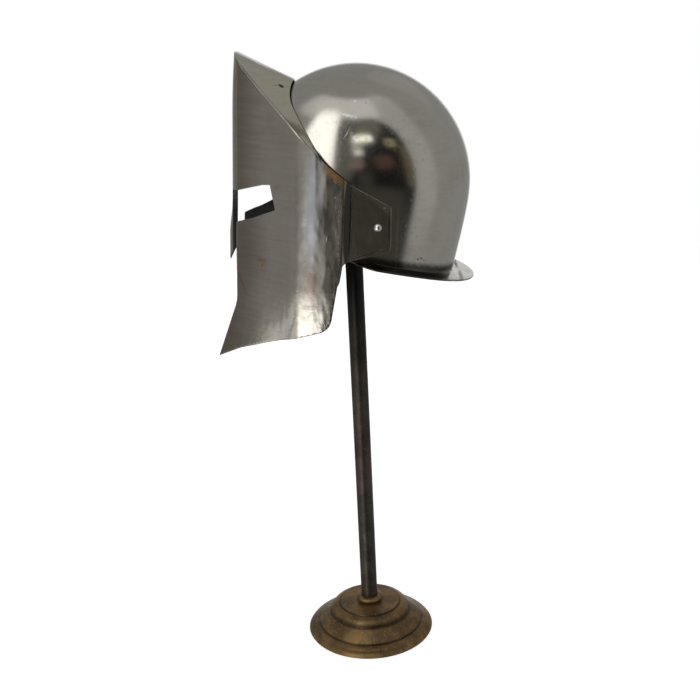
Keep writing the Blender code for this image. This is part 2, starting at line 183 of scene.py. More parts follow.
# ---------------------------------------------------------------- meshes


def new_object(name: str, shape: bmesh.types.BMesh) -> bpy.types.Object:
    """Makes a bmesh an object of the scene.

    Args:
        name: the object's name.
        shape: the mesh, which is freed.

    Returns:
        The object, at the origin.
    """
    mesh = bpy.data.meshes.new(name)
    shape.to_mesh(mesh)
    shape.free()
    thing = bpy.data.objects.new(name, mesh)
    bpy.context.scene.collection.objects.link(thing)
    return thing


def bake_modifiers(thing: bpy.types.Object) -> None:
    """Turns an object's modifiers into plain mesh.

    Args:
        thing: the object, which keeps its name and loses its modifiers.
    """
    graph = bpy.context.evaluated_depsgraph_get()
    mesh = bpy.data.meshes.new_from_object(thing.evaluated_get(graph), depsgraph=graph)
    thing.modifiers.clear()
    spare, thing.data = thing.data, mesh
    bpy.data.meshes.remove(spare)
    mesh.name = thing.name


@dataclass(frozen=True)
class SheetMaker:
    """Makes curved sheets of steel from a rule for their outer surface."""

    shortest: float = 0.00035
    same_place_share: float = 0.1
    inner_point: Colour = (0.0, 0.0, -0.02)
    edge_radius: float = 0.00035
    edge_segments: int = 2
    crease: float = math.radians(50)
    trim_depth: float = 0.130
    drill_sides: int = 48
    drill_length: float = 0.3
    border_passes: int = 3
    nearest_to_edge: float = 0.0007
    thinnest: float = 0.00005
    sideways: float = 0.00035
    farthest_in_walls: float = 1.3

    @property
    def same_place(self) -> float:
        """How near two corners lie when they are one."""
        return self.shortest * self.same_place_share

    def grid(
        self, name: str, columns: int, rows: int, place: Callable[[int, int], Vector], closed: bool
    ) -> bpy.types.Object:
        """A grid of quads over a surface, with too short steps up a column left out.

        Args:
            name: the object's name.
            columns: how many quads it has round the helmet.
            rows: how many quads it has up each column.
            place: gives the corner at a column and a row.
            closed: whether the last column meets the first.

        Returns:
            The open sheet, with its faces outward.
        """
        shape = bmesh.new()
        kept: list[list[bmesh.types.BMVert]] = []
        for column in range(columns if closed else columns + 1):
            line: list[bmesh.types.BMVert] = []
            for row in range(rows, -1, -1):
                spot = place(column, row)
                if line and (line[-1].co - spot).length < self.shortest:
                    line.append(line[-1])
                else:
                    line.append(shape.verts.new(spot))
            kept.append(line[::-1])
        if closed:
            kept.append(kept[0])
        for left, right in zip(kept, kept[1:]):
            for row in range(rows):
                ring = (left[row], right[row], right[row + 1], left[row + 1])
                corners = [spot for spot, last in zip(ring, ring[-1:] + ring[:-1]) if spot is not last]
                if len(corners) > 2:
                    shape.faces.new(corners)
        bmesh.ops.remove_doubles(shape, verts=shape.verts, dist=self.same_place)
        shape.normal_update()
        middle = Vector(self.inner_point)
        outward = sum((face.calc_center_median() - middle).dot(face.normal) for face in shape.faces)
        if outward < 0:
            bmesh.ops.reverse_faces(shape, faces=shape.faces)
        return new_object(name, shape)

    def cutter(
        self, name: str, corners: Sequence[Corner], near: float, far: float, side: Side
    ) -> bpy.types.Object:
        """A block whose outline is seen along an axis.

        Args:
            name: the object's name.
            corners: the outline's corners.
            near: where the block starts along the axis.
            far: where it ends.
            side: the axis.

        Returns:
            The block.
        """
        outline = rounded_line(corners, ARC_STEP)
        shape = bmesh.new()
        if side is Side.FLANK:
            points = [(spot.x, near, spot.y) for spot in outline]
            step = (0, far - near, 0)
        else:
            points = [(near, spot.x, spot.y) for spot in outline]
            step = (far - near, 0, 0)
        face = shape.faces.new([shape.verts.new(point) for point in points])
        grown = bmesh.ops.extrude_face_region(shape, geom=[face])["geom"]
        moved = [element for element in grown if isinstance(element, bmesh.types.BMVert)]
        bmesh.ops.translate(shape, verts=moved, vec=step)
        bmesh.ops.recalc_face_normals(shape, faces=shape.faces)
        return new_object(name, shape)

    def drill(self, x: float, z: float, radius: float) -> bpy.types.Object:
        """A rod across the helmet, which drills a hole each side.

        Args:
            x: its place along the helmet.
            z: its height.
            radius: the hole's radius.

        Returns:
            The rod.
        """
        shape = bmesh.new()
        place = Matrix.Translation((x, 0, z)) @ Matrix.Rotation(math.pi / 2, 4, "X")
        bmesh.ops.create_cone(
            shape,
            cap_ends=True,
            segments=self.drill_sides,
            radius1=radius,
            radius2=radius,
            depth=self.drill_length,
            matrix=place,
        )
        return new_object("hinge_drill", shape)

    def trim(self, thing: bpy.types.Object, cutters: Sequence[bpy.types.Object]) -> None:
        """Cuts an open sheet along the cutters' walls, and takes away what lies inside them.

        Args:
            thing: the sheet.
            cutters: closed blocks, which are removed.
        """
        marker = bpy.data.materials.new("cut_wall")
        thing.data.materials.append(bpy.data.materials.new("sheet_side"))
        for block in cutters:
            block.data.materials.append(marker)
            knife = thing.modifiers.new(block.name, "BOOLEAN")
            knife.operation = "DIFFERENCE"
            knife.solver = "EXACT"
            knife.object = block
            knife.material_mode = "TRANSFER"
        bake_modifiers(thing)
        walls = {index for index, used in enumerate(thing.data.materials) if used is marker}
        shape = bmesh.new()
        shape.from_mesh(thing.data)
        gone = [face for face in shape.faces if face.material_index in walls]
        bmesh.ops.delete(shape, geom=gone, context="FACES")
        self._clean_border(shape)
        shape.to_mesh(thing.data)
        shape.free()
        thing.data.materials.clear()
        for block in cutters:
            bpy.data.objects.remove(block, do_unlink=True)

    def _clean_border(self, shape: bmesh.types.BMesh) -> None:
        """Draws corners too close behind the sheet's edge onto it, and takes slivers off the edge.

        Args:
            shape: the open sheet.
        """
        bmesh.ops.remove_doubles(shape, verts=shape.verts, dist=self.same_place)
        for _ in range(self.border_passes):
            border = {spot for edge in shape.edges if edge.is_boundary for spot in edge.verts}
            drawn: dict[bmesh.types.BMVert, bmesh.types.BMVert] = {}
            for edge in shape.edges:
                if edge.calc_length() > self.nearest_to_edge:
                    continue
                ends = [spot for spot in edge.verts if spot in border]
                if len(ends) == 1:
                    drawn[edge.other_vert(ends[0])] = ends[0]
            if not drawn:
                break
            bmesh.ops.weld_verts(shape, targetmap=drawn)
        bmesh.ops.dissolve_degenerate(shape, edges=shape.edges, dist=self.same_place)
        for _ in range(self.border_passes):
            slivers = [face for face in shape.faces if self._is_border_sliver(face)]
            bmesh.ops.delete(shape, geom=slivers, context="FACES")
        for face in shape.faces:
            face.material_index = 0

    def _is_border_sliver(self, face: bmesh.types.BMFace) -> bool:
        """Whether a face lies along the sheet's edge and is too thin to point the right way."""
        if not any(edge.is_boundary for edge in face.edges):
            return False
        return face.calc_area() < self.thinnest * max(edge.calc_length() for edge in face.edges)

    def thicken(
        self,
        thing: bpy.types.Object,
        outside: bpy.types.Material,
        inside: bpy.types.Material,
        straighten: bool = False,
    ) -> None:
        """Gives an open sheet its thickness inward, with lightly rounded edges, and puts it in its pose.

        Args:
            thing: the sheet.
            outside: the finish of its outer side and its edges.
            inside: the finish of its inner side.
            straighten: whether corners thrown out of the wall are put back. A sheet with a hollow fold
                keeps its corners only without it.
        """
        thing.data.materials.append(outside)
        thing.data.materials.append(inside)
        wall = thing.modifiers.new("wall", "SOLIDIFY")
        wall.thickness = STEEL
        wall.offset = -1
        wall.use_even_offset = True
        wall.material_offset = 1
        edge = thing.modifiers.new("edge", "BEVEL")
        edge.width = self.edge_radius
        edge.segments = self.edge_segments
        edge.limit_method = "ANGLE"
        edge.angle_limit = self.crease
        edge.use_clamp_overlap = False
        sheet = self._tree_of(thing.data)
        bake_modifiers(thing)
        if straighten:
            self._straighten_wall(thing.data, sheet)
        thing.data.transform(HELMET_POSE)
        for face in thing.data.polygons:
            face.use_smooth = True
        thing.data.set_sharp_from_angle(angle=self.crease)

    def _tree_of(self, mesh: bpy.types.Mesh) -> BVHTree:
        """A search tree of a mesh's faces."""
        corners = [spot.co.copy() for spot in mesh.vertices]
        return BVHTree.FromPolygons(corners, [tuple(face.vertices) for face in mesh.polygons])

    def _straighten_wall(self, mesh: bpy.types.Mesh, sheet: BVHTree) -> None:
        """Puts any corner that was thrown out of the wall back between its two sides.

        Args:
            mesh: the thickened sheet.
            sheet: the open sheet that the wall was made from.
        """
        moved = 0
        for spot in mesh.vertices:
            foot, normal, _, _ = sheet.find_nearest(spot.co)
            offset = spot.co - foot
            above = offset.dot(normal)
            aside = (offset - normal * above).length
            if aside > self.sideways or offset.length > self.farthest_in_walls * STEEL:
                spot.co = foot + normal * max(-STEEL, min(above, 0.0))
                moved += 1
        LOG.info("%s: %d corners straightened", mesh.name, moved)


# ---------------------------------------------------------------- shader maths


class Wire:
    """A socket's value, so that shader maths can be written as a Python expression."""

    def __init__(self, maker: "NodeMaker", socket: bpy.types.NodeSocket) -> None:
        """Wraps a socket of a maker's tree."""
        self.maker = maker
        self.socket = socket

    def _math(self, operation: str, *values: "Wire | float") -> "Wire":
        """A Math node on these values."""
        return self.maker.node("ShaderNodeMath", {"operation": operation}, dict(enumerate(values)))

    def __add__(self, other: "Wire | float") -> "Wire":
        """The sum."""
        return self._math("ADD", self, other)

    __radd__ = __add__

    def __mul__(self, other: "Wire | float") -> "Wire":
        """The product."""
        return self._math("MULTIPLY", self, other)

    __rmul__ = __mul__

    def __sub__(self, other: "Wire | float") -> "Wire":
        """The difference."""
        return self._math("SUBTRACT", self, other)

    def __rsub__(self, other: float) -> "Wire":
        """The difference from a number."""
        return self._math("SUBTRACT", other, self)

    def __truediv__(self, other: "Wire | float") -> "Wire":
        """The quotient."""
        return self._math("DIVIDE", self, other)

    def __pow__(self, other: float) -> "Wire":
        """The power."""
        return self._math("POWER", self, other)

    def __abs__(self) -> "Wire":
        """The size without its sign."""
        return self._math("ABSOLUTE", self)

    def clamped(self) -> "Wire":
        """The value kept between 0 and 1."""
        return self._math("MINIMUM", self._math("MAXIMUM", self, 0.0), 1.0)

    def step(self, start: float, end: float, low: float = 0.0, high: float = 1.0) -> "Wire":
        """A smooth step.

        Args:
            start: where it begins.
            end: where it ends, which may lie below the start.
            low: the value before it.
            high: the value after it.

        Returns:
            The stepped value.
        """
        if start > end:
            start, end, low, high = end, start, high, low
        settings = {"interpolation_type": "SMOOTHSTEP"}
        return self.maker.node("ShaderNodeMapRange", settings, {0: self, 1: start, 2: end, 3: low, 4: high})


class NodeMaker:
    """Builds one node tree."""

    def __init__(self, tree: bpy.types.NodeTree) -> None:
        """Starts with an empty tree."""
        self.tree = tree
        tree.nodes.clear()

    def node(
        self, kind: str, settings: dict[str, Any], inputs: dict[int | str, Any], output: int | str = 0
    ) -> Wire:
        """Adds a node.

        Args:
            kind: the node's type.
            settings: its properties, which are set first.
            inputs: values or wires by socket index or name.
            output: which output is wanted.

        Returns:
            That output.
        """
        made = self.tree.nodes.new(kind)
        for name, value in settings.items():
            setattr(made, name, value)
        for key, value in inputs.items():
            if isinstance(value, Wire):
                self.tree.links.new(value.socket, made.inputs[key])
            else:
                made.inputs[key].default_value = value
        return Wire(self, made.outputs[output])

    def colour_mix(
        self, share: Wire | float, low: Wire | Colour, high: Wire | Colour, blend: str = "MIX"
    ) -> Wire:
        """A mix of two colours.

        Args:
            share: 0 for the first colour and 1 for the second.
            low: the first colour.
            high: the second colour.
            blend: the blending mode.

        Returns:
            The colour.
        """
        values = [(*value, 1.0) if isinstance(value, tuple) else value for value in (low, high)]
        settings = {"data_type": "RGBA", "blend_type": blend}
        return self.node("ShaderNodeMix", settings, {0: share, 6: values[0], 7: values[1]}, 2)

    def shaded(self, colour: Wire, shade: Wire) -> Wire:
        """A colour darkened or lightened by a value, where 1 leaves it alone."""
        grey = self.node("ShaderNodeCombineXYZ", {}, {0: shade, 1: shade, 2: shade})
        return self.colour_mix(1.0, colour, grey, "MULTIPLY")

    def length(self, vector: Wire) -> Wire:
        """The length of a vector."""
        return self.node("ShaderNodeVectorMath", {"operation": "LENGTH"}, {0: vector}, "Value")

    def noise(
        self,
        place: Wire,
        scale: float,
        detail: float = 2.0,
        roughness: float = 0.5,
        stretch: Colour = (1, 1, 1),
    ) -> Wire:
        """Smooth noise.

        Args:
            place: where it is read.
            scale: waves to the metre.
            detail: how many finer octaves it has.
            roughness: how strong they are.
            stretch: how much finer it is along each axis.

        Returns:
            A value near 0.5.
        """
        spot = place
        if stretch != (1, 1, 1):
            spot = self.node("ShaderNodeVectorMath", {"operation": "MULTIPLY"}, {0: place, 1: stretch})
        values = {"Vector": spot, "Scale": scale, "Detail": detail, "Roughness": roughness}
        return self.node("ShaderNodeTexNoise", {"noise_dimensions": "3D"}, values, "Fac")

    def bump(self, height: Wire, distance: float, before: Wire | None = None) -> Wire:
        """A bump.

        Args:
            height: the height, from 0 to 1.
            distance: how far 1 stands above 0, in metres.
            before: the normal that it starts from.

        Returns:
            The normal.
        """
        values: dict[int | str, Any] = {"Height": height, "Distance": distance, "Strength": 1.0}
        if before:
            values["Normal"] = before
        return self.node("ShaderNodeBump", {}, values, "Normal")


class MaterialMaker(NodeMaker):
    """Builds one material, read in a piece's own coordinates."""

    def __init__(self, name: str, pose: Matrix = Matrix.Identity(4)) -> None:
        """Makes the material.

        Args:
            name: its name.
            pose: the place and turn of the piece that its patterns follow.
        """
        self.material = bpy.data.materials.new(name)
        self.material.use_nodes = True
        super().__init__(self.material.node_tree)
        spot = self.node("ShaderNodeTexCoord", {}, {}, "Object")
        turn = pose.to_euler()
        values = {"Vector": spot, "Location": pose.translation, "Rotation": turn}
        self.place = self.node("ShaderNodeMapping", {"vector_type": "TEXTURE"}, values)

    def axis(self, index: int) -> Wire:
        """One coordinate of the piece's own place: 0 for x, 1 for y, 2 for z."""
        return self.node("ShaderNodeSeparateXYZ", {}, {0: self.place}, index)

    def mark(self, mark: "Mark", place: Wire) -> Wire:
        """The share of a mark at a place.

        Args:
            mark: the mark.
            place: where it is read.

        Returns:
            1 inside the mark, 0 outside, and a soft edge between.
        """
        values = {
            "Vector": place,
            "Location": mark.spot,
            "Rotation": (0.0, math.radians(mark.turn), 0.0),
            "Scale": (mark.reach[0], 0.03, mark.reach[1]),
        }
        centred = self.node("ShaderNodeMapping", {"vector_type": "TEXTURE"}, values)
        return self.length(centred).step(1 + mark.soft / 2, 1 - mark.soft / 2, 0.0, mark.strength)

    def finish(
        self, colour: Wire | Colour, roughness: Wire | float, metallic: float, normal: Wire | None
    ) -> None:
        """Adds the surface shader.

        Args:
            colour: its base colour.
            roughness: its roughness.
            metallic: 1 for bare metal.
            normal: its normal, if it is bumped.
        """
        values: dict[int | str, Any] = {
            "Base Color": (*colour, 1.0) if isinstance(colour, tuple) else colour,
            "Roughness": roughness,
            "Metallic": metallic,
        }
        if normal:
            values["Normal"] = normal
        surface = self.node("ShaderNodeBsdfPrincipled", {}, values)
        self.output(surface)

    def output(self, surface: Wire) -> None:
        """Links the surface to the tree's output."""
        output = self.tree.nodes.new("ShaderNodeOutputMaterial")
        self.tree.links.new(surface.socket, output.inputs["Surface"])


@dataclass(frozen=True)
class Mark:
    """A stain, streak, pit, painted highlight or painted shade: where it is, how far it reaches along and up,
    and its looks.
    """

    spot: Colour
    reach: tuple[float, float]
    colour: Colour
    strength: float = 1.0
    turn: float = 0.0
    soft: float = 1.0
    wander: float = 0.0
    roughness: float = 0.4


@dataclass(frozen=True)
class SteelFinish:
    """Old polished steel: its colour, tarnish, brushing, dents and marks."""

    name: str
    colour: Colour = (0.57, 0.545, 0.485)
    tarnish: Colour = (0.36, 0.335, 0.28)
    tarnish_share: float = 0.35
    roughness: float = 0.15
    roughness_spread: float = 0.10
    brushing: float = 0.00002
    brushing_stretch: Colour = (40.0, 40.0, 900.0)
    ragged: float = 0.0
    ragged_stretch: Colour = (60.0, 60.0, 34.0)
    dents: float = 0.0005
    dent_size: float = 0.045
    # Colour of the skull's dark band above the rim: soiling together with painted shade.
    grime_and_shade: Colour = (0.055, 0.050, 0.040)
    marks: tuple[Mark, ...] = ()

    def ground(self, maker: MaterialMaker, patch: Wire) -> Wire:
        """The colour before fine specks and marks, where patch is the share of tarnish."""
        return maker.colour_mix(patch, self.colour, self.tarnish)

    def material(self) -> bpy.types.Material:
        """The finish as a material."""
        maker = MaterialMaker(self.name, HELMET_POSE)
        place = maker.place
        cloud = maker.noise(place, 26.0, 5.0, 0.62)
        fine = maker.noise(place, 320.0, 3.0, 0.6)
        brushed = maker.noise(place, 1.0, 2.0, 0.6, self.brushing_stretch)
        patch = (cloud * 0.75 + brushed * 0.25).step(0.45, 0.72, 0.0, self.tarnish_share)
        colour = self.ground(maker, patch)
        colour = maker.colour_mix(fine.step(0.62, 0.76, 0.0, 0.30), colour, (0.26, 0.24, 0.20))
        rough = self.roughness + patch * self.roughness_spread + (fine - 0.5) * 0.10
        wander = maker.noise(place, 180.0, 3.0, 0.6) - 0.5
        spread = maker.node("ShaderNodeCombineXYZ", {}, {0: wander, 1: 0.0, 2: wander})
        for mark in self.marks:
            reach = {0: spread, "Scale": mark.wander}
            shift = maker.node("ShaderNodeVectorMath", {"operation": "SCALE"}, reach)
            moved = maker.node("ShaderNodeVectorMath", {"operation": "ADD"}, {0: place, 1: shift})
            share = maker.mark(mark, moved)
            colour = maker.colour_mix(share, colour, mark.colour)
            rough = rough + share * (mark.roughness - rough)
        normal = maker.bump(maker.noise(place, 0.5 / self.dent_size, 1.5, 0.5), self.dents)
        if self.ragged:
            waves = maker.noise(place, 1.0, 2.0, 0.4, self.ragged_stretch)
            normal = maker.bump(waves, self.ragged, normal)
        normal = maker.bump(brushed, self.brushing, normal)
        normal = maker.bump(fine.step(0.62, 0.80), -0.00004, normal)
        maker.finish(colour, rough.clamped(), 1.0, normal)
        return maker.material


@dataclass(frozen=True)
class SkullFinish(SteelFinish):
    """The skull's steel, with soiling and painted shade gathered above the rim and on it."""

    rim_slope: float = 0.160
    # Heights of the dark band above the rim, which is partly soiling and partly painted shade where skirt
    # meets rim.
    skirt_dirt_and_shade: tuple[float, float] = (-0.0560, -0.0635)
    rim_clean: tuple[float, float] = (0.098, 0.118)
    rim_starts: tuple[float, float] = (-0.0655, -0.0670)

    def ground(self, maker: MaterialMaker, patch: Wire) -> Wire:
        """The steel, darkened near the rim by soiling and painted shade, less so on the rim's rear."""
        x, z = maker.axis(0), maker.axis(2)
        level = z + x * self.rim_slope
        speck = maker.noise(maker.place, 240.0, 4.0, 0.7)
        rear_rim = x.step(*self.rim_clean) * level.step(*self.rim_starts)
        # Painted shade with soiling: a dark band where the skirt meets the rim, mottled lighter on the rim's
        # rear.
        dirt_and_shade = (level + (speck - 0.5) * 0.006).step(*self.skirt_dirt_and_shade, 0.0, 0.93)
        dirt_and_shade = dirt_and_shade * (1.0 - rear_rim * speck.step(0.62, 0.42, 0.55, 0.98))
        return maker.colour_mix(dirt_and_shade, super().ground(maker, patch), self.grime_and_shade)


@dataclass(frozen=True)
class VisorFinish(SteelFinish):
    """The visor's steel: darker and browner towards the nose with painted shade, brighter on the roof and
    streaked along.
    """

    # Colour of the painted shade towards the nose.
    nose: Colour = (0.225, 0.195, 0.150)
    nose_fades: tuple[float, float] = (-0.128, -0.078)
    roof: Colour = (0.555, 0.525, 0.435)
    roof_above: tuple[float, float] = (0.0046, 0.0066)
    roof_line: tuple[float, float, float] = (1.008, 0.62, -0.1255)
    streaks: tuple[float, float] = (0.35, 0.65)
    streak_shades: tuple[float, float] = (0.965, 1.03)
    streak_stretch: Colour = (14.0, 14.0, 260.0)
    nose_wander: float = 0.012

    def ground(self, maker: MaterialMaker, patch: Wire) -> Wire:
        """The plate's colours along the helmet, darkened by painted shade towards the nose, and the roof's
        above the fold.
        """
        x, z = maker.axis(0), maker.axis(2)
        slope, curve, peak = self.roof_line
        above_fold = z + x * slope - (x - peak) ** 2 * curve
        roof = above_fold.step(*self.roof_above)
        streak = maker.noise(maker.place, 1.0, 4.0, 0.65, self.streak_stretch)
        # Painted shade: the plate darkens and browns towards the nose, except on the roof.
        nose = (x + (streak - 0.5) * self.nose_wander).step(*self.nose_fades, 1.0, 0.0)
        colour = maker.colour_mix(nose * (1.0 - roof), super().ground(maker, patch), self.nose)
        colour = maker.colour_mix(roof, colour, self.roof)
        return maker.shaded(colour, streak.step(*self.streaks, *self.streak_shades))


@dataclass(frozen=True)
class DullFinish:
    """A dull, dark surface: the helmet's inside, the rod or the base, with painted shade by height and in
    grooves where given.
    """

    name: str
    colour: Colour
    other: Colour
    worn: Colour
    roughness: float
    metallic: float
    grain: float
    pose: Matrix = field(default_factory=lambda: Matrix.Identity(4))
    # Painted shade by height: where it starts and ends, and the factor it reaches.
    shade: tuple[float, float, float] = (0.0, 1.0, 1.0)
    # Painted shade in grooves: each groove's radius and half width.
    groove_shades: tuple[tuple[float, float], ...] = ()

    def material(self) -> bpy.types.Material:
        """The finish as a material."""
        maker = MaterialMaker(self.name, self.pose)
        cloud = maker.noise(maker.place, 34.0, 5.0, 0.6)
        fine = maker.noise(maker.place, 420.0, 3.0, 0.6)
        colour = maker.colour_mix(cloud.step(0.38, 0.62), self.colour, self.other)
        colour = maker.colour_mix(fine.step(0.55, 0.72, 0.0, 0.7), colour, self.worn)
        # Painted shade: darker over a range of heights.
        light = maker.axis(2).step(self.shade[0], self.shade[1], 1.0, self.shade[2])
        x, y = maker.axis(0), maker.axis(1)
        radius = (x * x + y * y) ** 0.5
        # Painted shade: each groove darkens towards its middle.
        for ring, width in self.groove_shades:
            light = light * abs(radius - ring).step(width, 0.0, 1.0, 0.30)
        colour = maker.shaded(colour, light)
        rough = self.roughness + (fine - 0.5) * 0.3 + (cloud - 0.5) * 0.2
        normal = maker.bump(fine, self.grain)
        maker.finish(colour, rough.clamped(), self.metallic, normal)
        return maker.material


# ---------------------------------------------------------------- the helmet


@dataclass
class Skull:
    """The bowl of the helmet: dome, tapering skirt and turned-out rim, open at the face."""

    radius: float = 0.1233
    half_width: float = 0.0890
    centre_x: float = 0.0064
    centre_z: float = 0.0033
    rear_fullness: float = 0.30
    taper: float = 0.195
    turn_in: float = 0.028
    side_share: float = 0.45
    rim_level: float = -0.0712
    rim_level_x: float = 0.0115
    rim_slope: float = 0.160
    rim_rear: tuple[float, float] = (0.0250, 0.0055)
    rim_side: tuple[float, float] = (0.0150, 0.0040)
    rim_fade: tuple[float, float] = (math.radians(78), math.radians(90))
    rim_hollow: float = 0.15
    rim_side_turn: float = math.radians(62)
    rim_least_drop: float = 0.0012
    columns: int = 220
    dome_rows: int = 62
    skirt_rows: int = 26
    rim_rows: int = 9
    hinge: tuple[float, float] = (0.0325, -0.0321)
    hole_radius: float = 0.0024
    face_trim: tuple[Corner, ...] = (
        Corner(-0.0720, 0.1500),
        Corner(-0.0690, 0.0820, 0.030),
        Corner(-0.0360, 0.0340, 0.060),
        Corner(-0.0060, 0.0060, 0.010),
        Corner(-0.0060, -0.1200),
        Corner(-0.1600, -0.1200),
        Corner(-0.1600, 0.1500),
    )

    def section(self, turn: float, size: float, inset: float, fullness: float) -> Vector:
        """The outline at a level.

        Args:
            turn: 0 at the rear and pi at the front.
            size: the share of the full radius.
            inset: how far the level has drawn in.
            fullness: how far the rear is rounded out.

        Returns:
            A point of the outline.
        """
        rearward = max(math.cos(turn), 0.0)
        length = self.radius * size - inset
        width = self.half_width * size - self.side_share * inset
        x = self.centre_x + length * math.cos(turn)
        return Vector((x, width * math.sin(turn) * (1 + fullness * rearward**3)))

    def inset(self, z: float) -> float:
        """How far the skirt has drawn in at a height."""
        depth = max(self.centre_z - z, 0.0)
        return self.taper * (math.hypot(depth, self.turn_in) - self.turn_in)

    def rim_size(self, turn: float) -> tuple[float, float]:
        """The rim's run outward and its drop at a place round the helmet."""
        side = ramp(turn, 0.0, self.rim_side_turn)
        fade = 1 - ramp(turn, *self.rim_fade)
        run = fade * (self.rim_rear[0] + side * (self.rim_side[0] - self.rim_rear[0]))
        drop = fade * (self.rim_rear[1] + side * (self.rim_side[1] - self.rim_rear[1]))
        return run, max(drop, self.rim_least_drop)

    def corner(self, column: int, row: int) -> Vector:
        """A corner of the outer surface.

        Args:
            column: its place round the helmet, from the rear.
            row: its place from the crown down to the rim.

        Returns:
            The point, in the helmet's own frame.
        """
        whole = 2 * math.pi * column / self.columns
        turn = min(whole, 2 * math.pi - whole)
        hand = 1 if whole <= math.pi else -1
        if row <= self.dome_rows:
            fall = math.pi / 2 * row / self.dome_rows
            spot = self.section(turn, math.sin(fall), 0.0, self.rear_fullness * math.sin(fall) ** 2)
            return Vector((spot.x, hand * spot.y, self.centre_z + self.radius * math.cos(fall)))
        run, drop = self.rim_size(turn)
        edge_x = self.section(turn, 1.0, 0.0, self.rear_fullness).x + run * math.cos(turn)
        skirt_end = self.rim_level - self.rim_slope * (edge_x - self.rim_level_x) + drop
        down_skirt = min((row - self.dome_rows) / self.skirt_rows, 1.0)
        along_rim = max((row - self.dome_rows - self.skirt_rows) / self.rim_rows, 0.0)
        z = self.centre_z + down_skirt * (skirt_end - self.centre_z) - drop * along_rim
        spot = self.section(turn, 1.0, self.inset(z), self.rear_fullness)
        outward = run * along_rim * (1 - self.rim_hollow * (1 - along_rim))
        spot += Vector((math.cos(turn), math.sin(turn))) * outward
        return Vector((spot.x, hand * spot.y, z))

    def build(self, outside: bpy.types.Material, inside: bpy.types.Material) -> bpy.types.Object:
        """Makes the skull.

        Args:
            outside: the finish of its outer side.
            inside: the finish of its inner side.

        Returns:
            The piece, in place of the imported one.
        """
        maker = SheetMaker()
        rows = self.dome_rows + self.skirt_rows + self.rim_rows
        bowl = maker.grid("skull_shell", self.columns, rows, self.corner, closed=True)
        depth = maker.trim_depth
        face = maker.cutter("face_trim", self.face_trim, -depth, depth, Side.FLANK)
        maker.trim(bowl, [face, maker.drill(*self.hinge, self.hole_radius)])
        maker.thicken(bowl, outside, inside)
        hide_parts("skull")
        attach(bowl, Body.STAND.value)
        return bowl


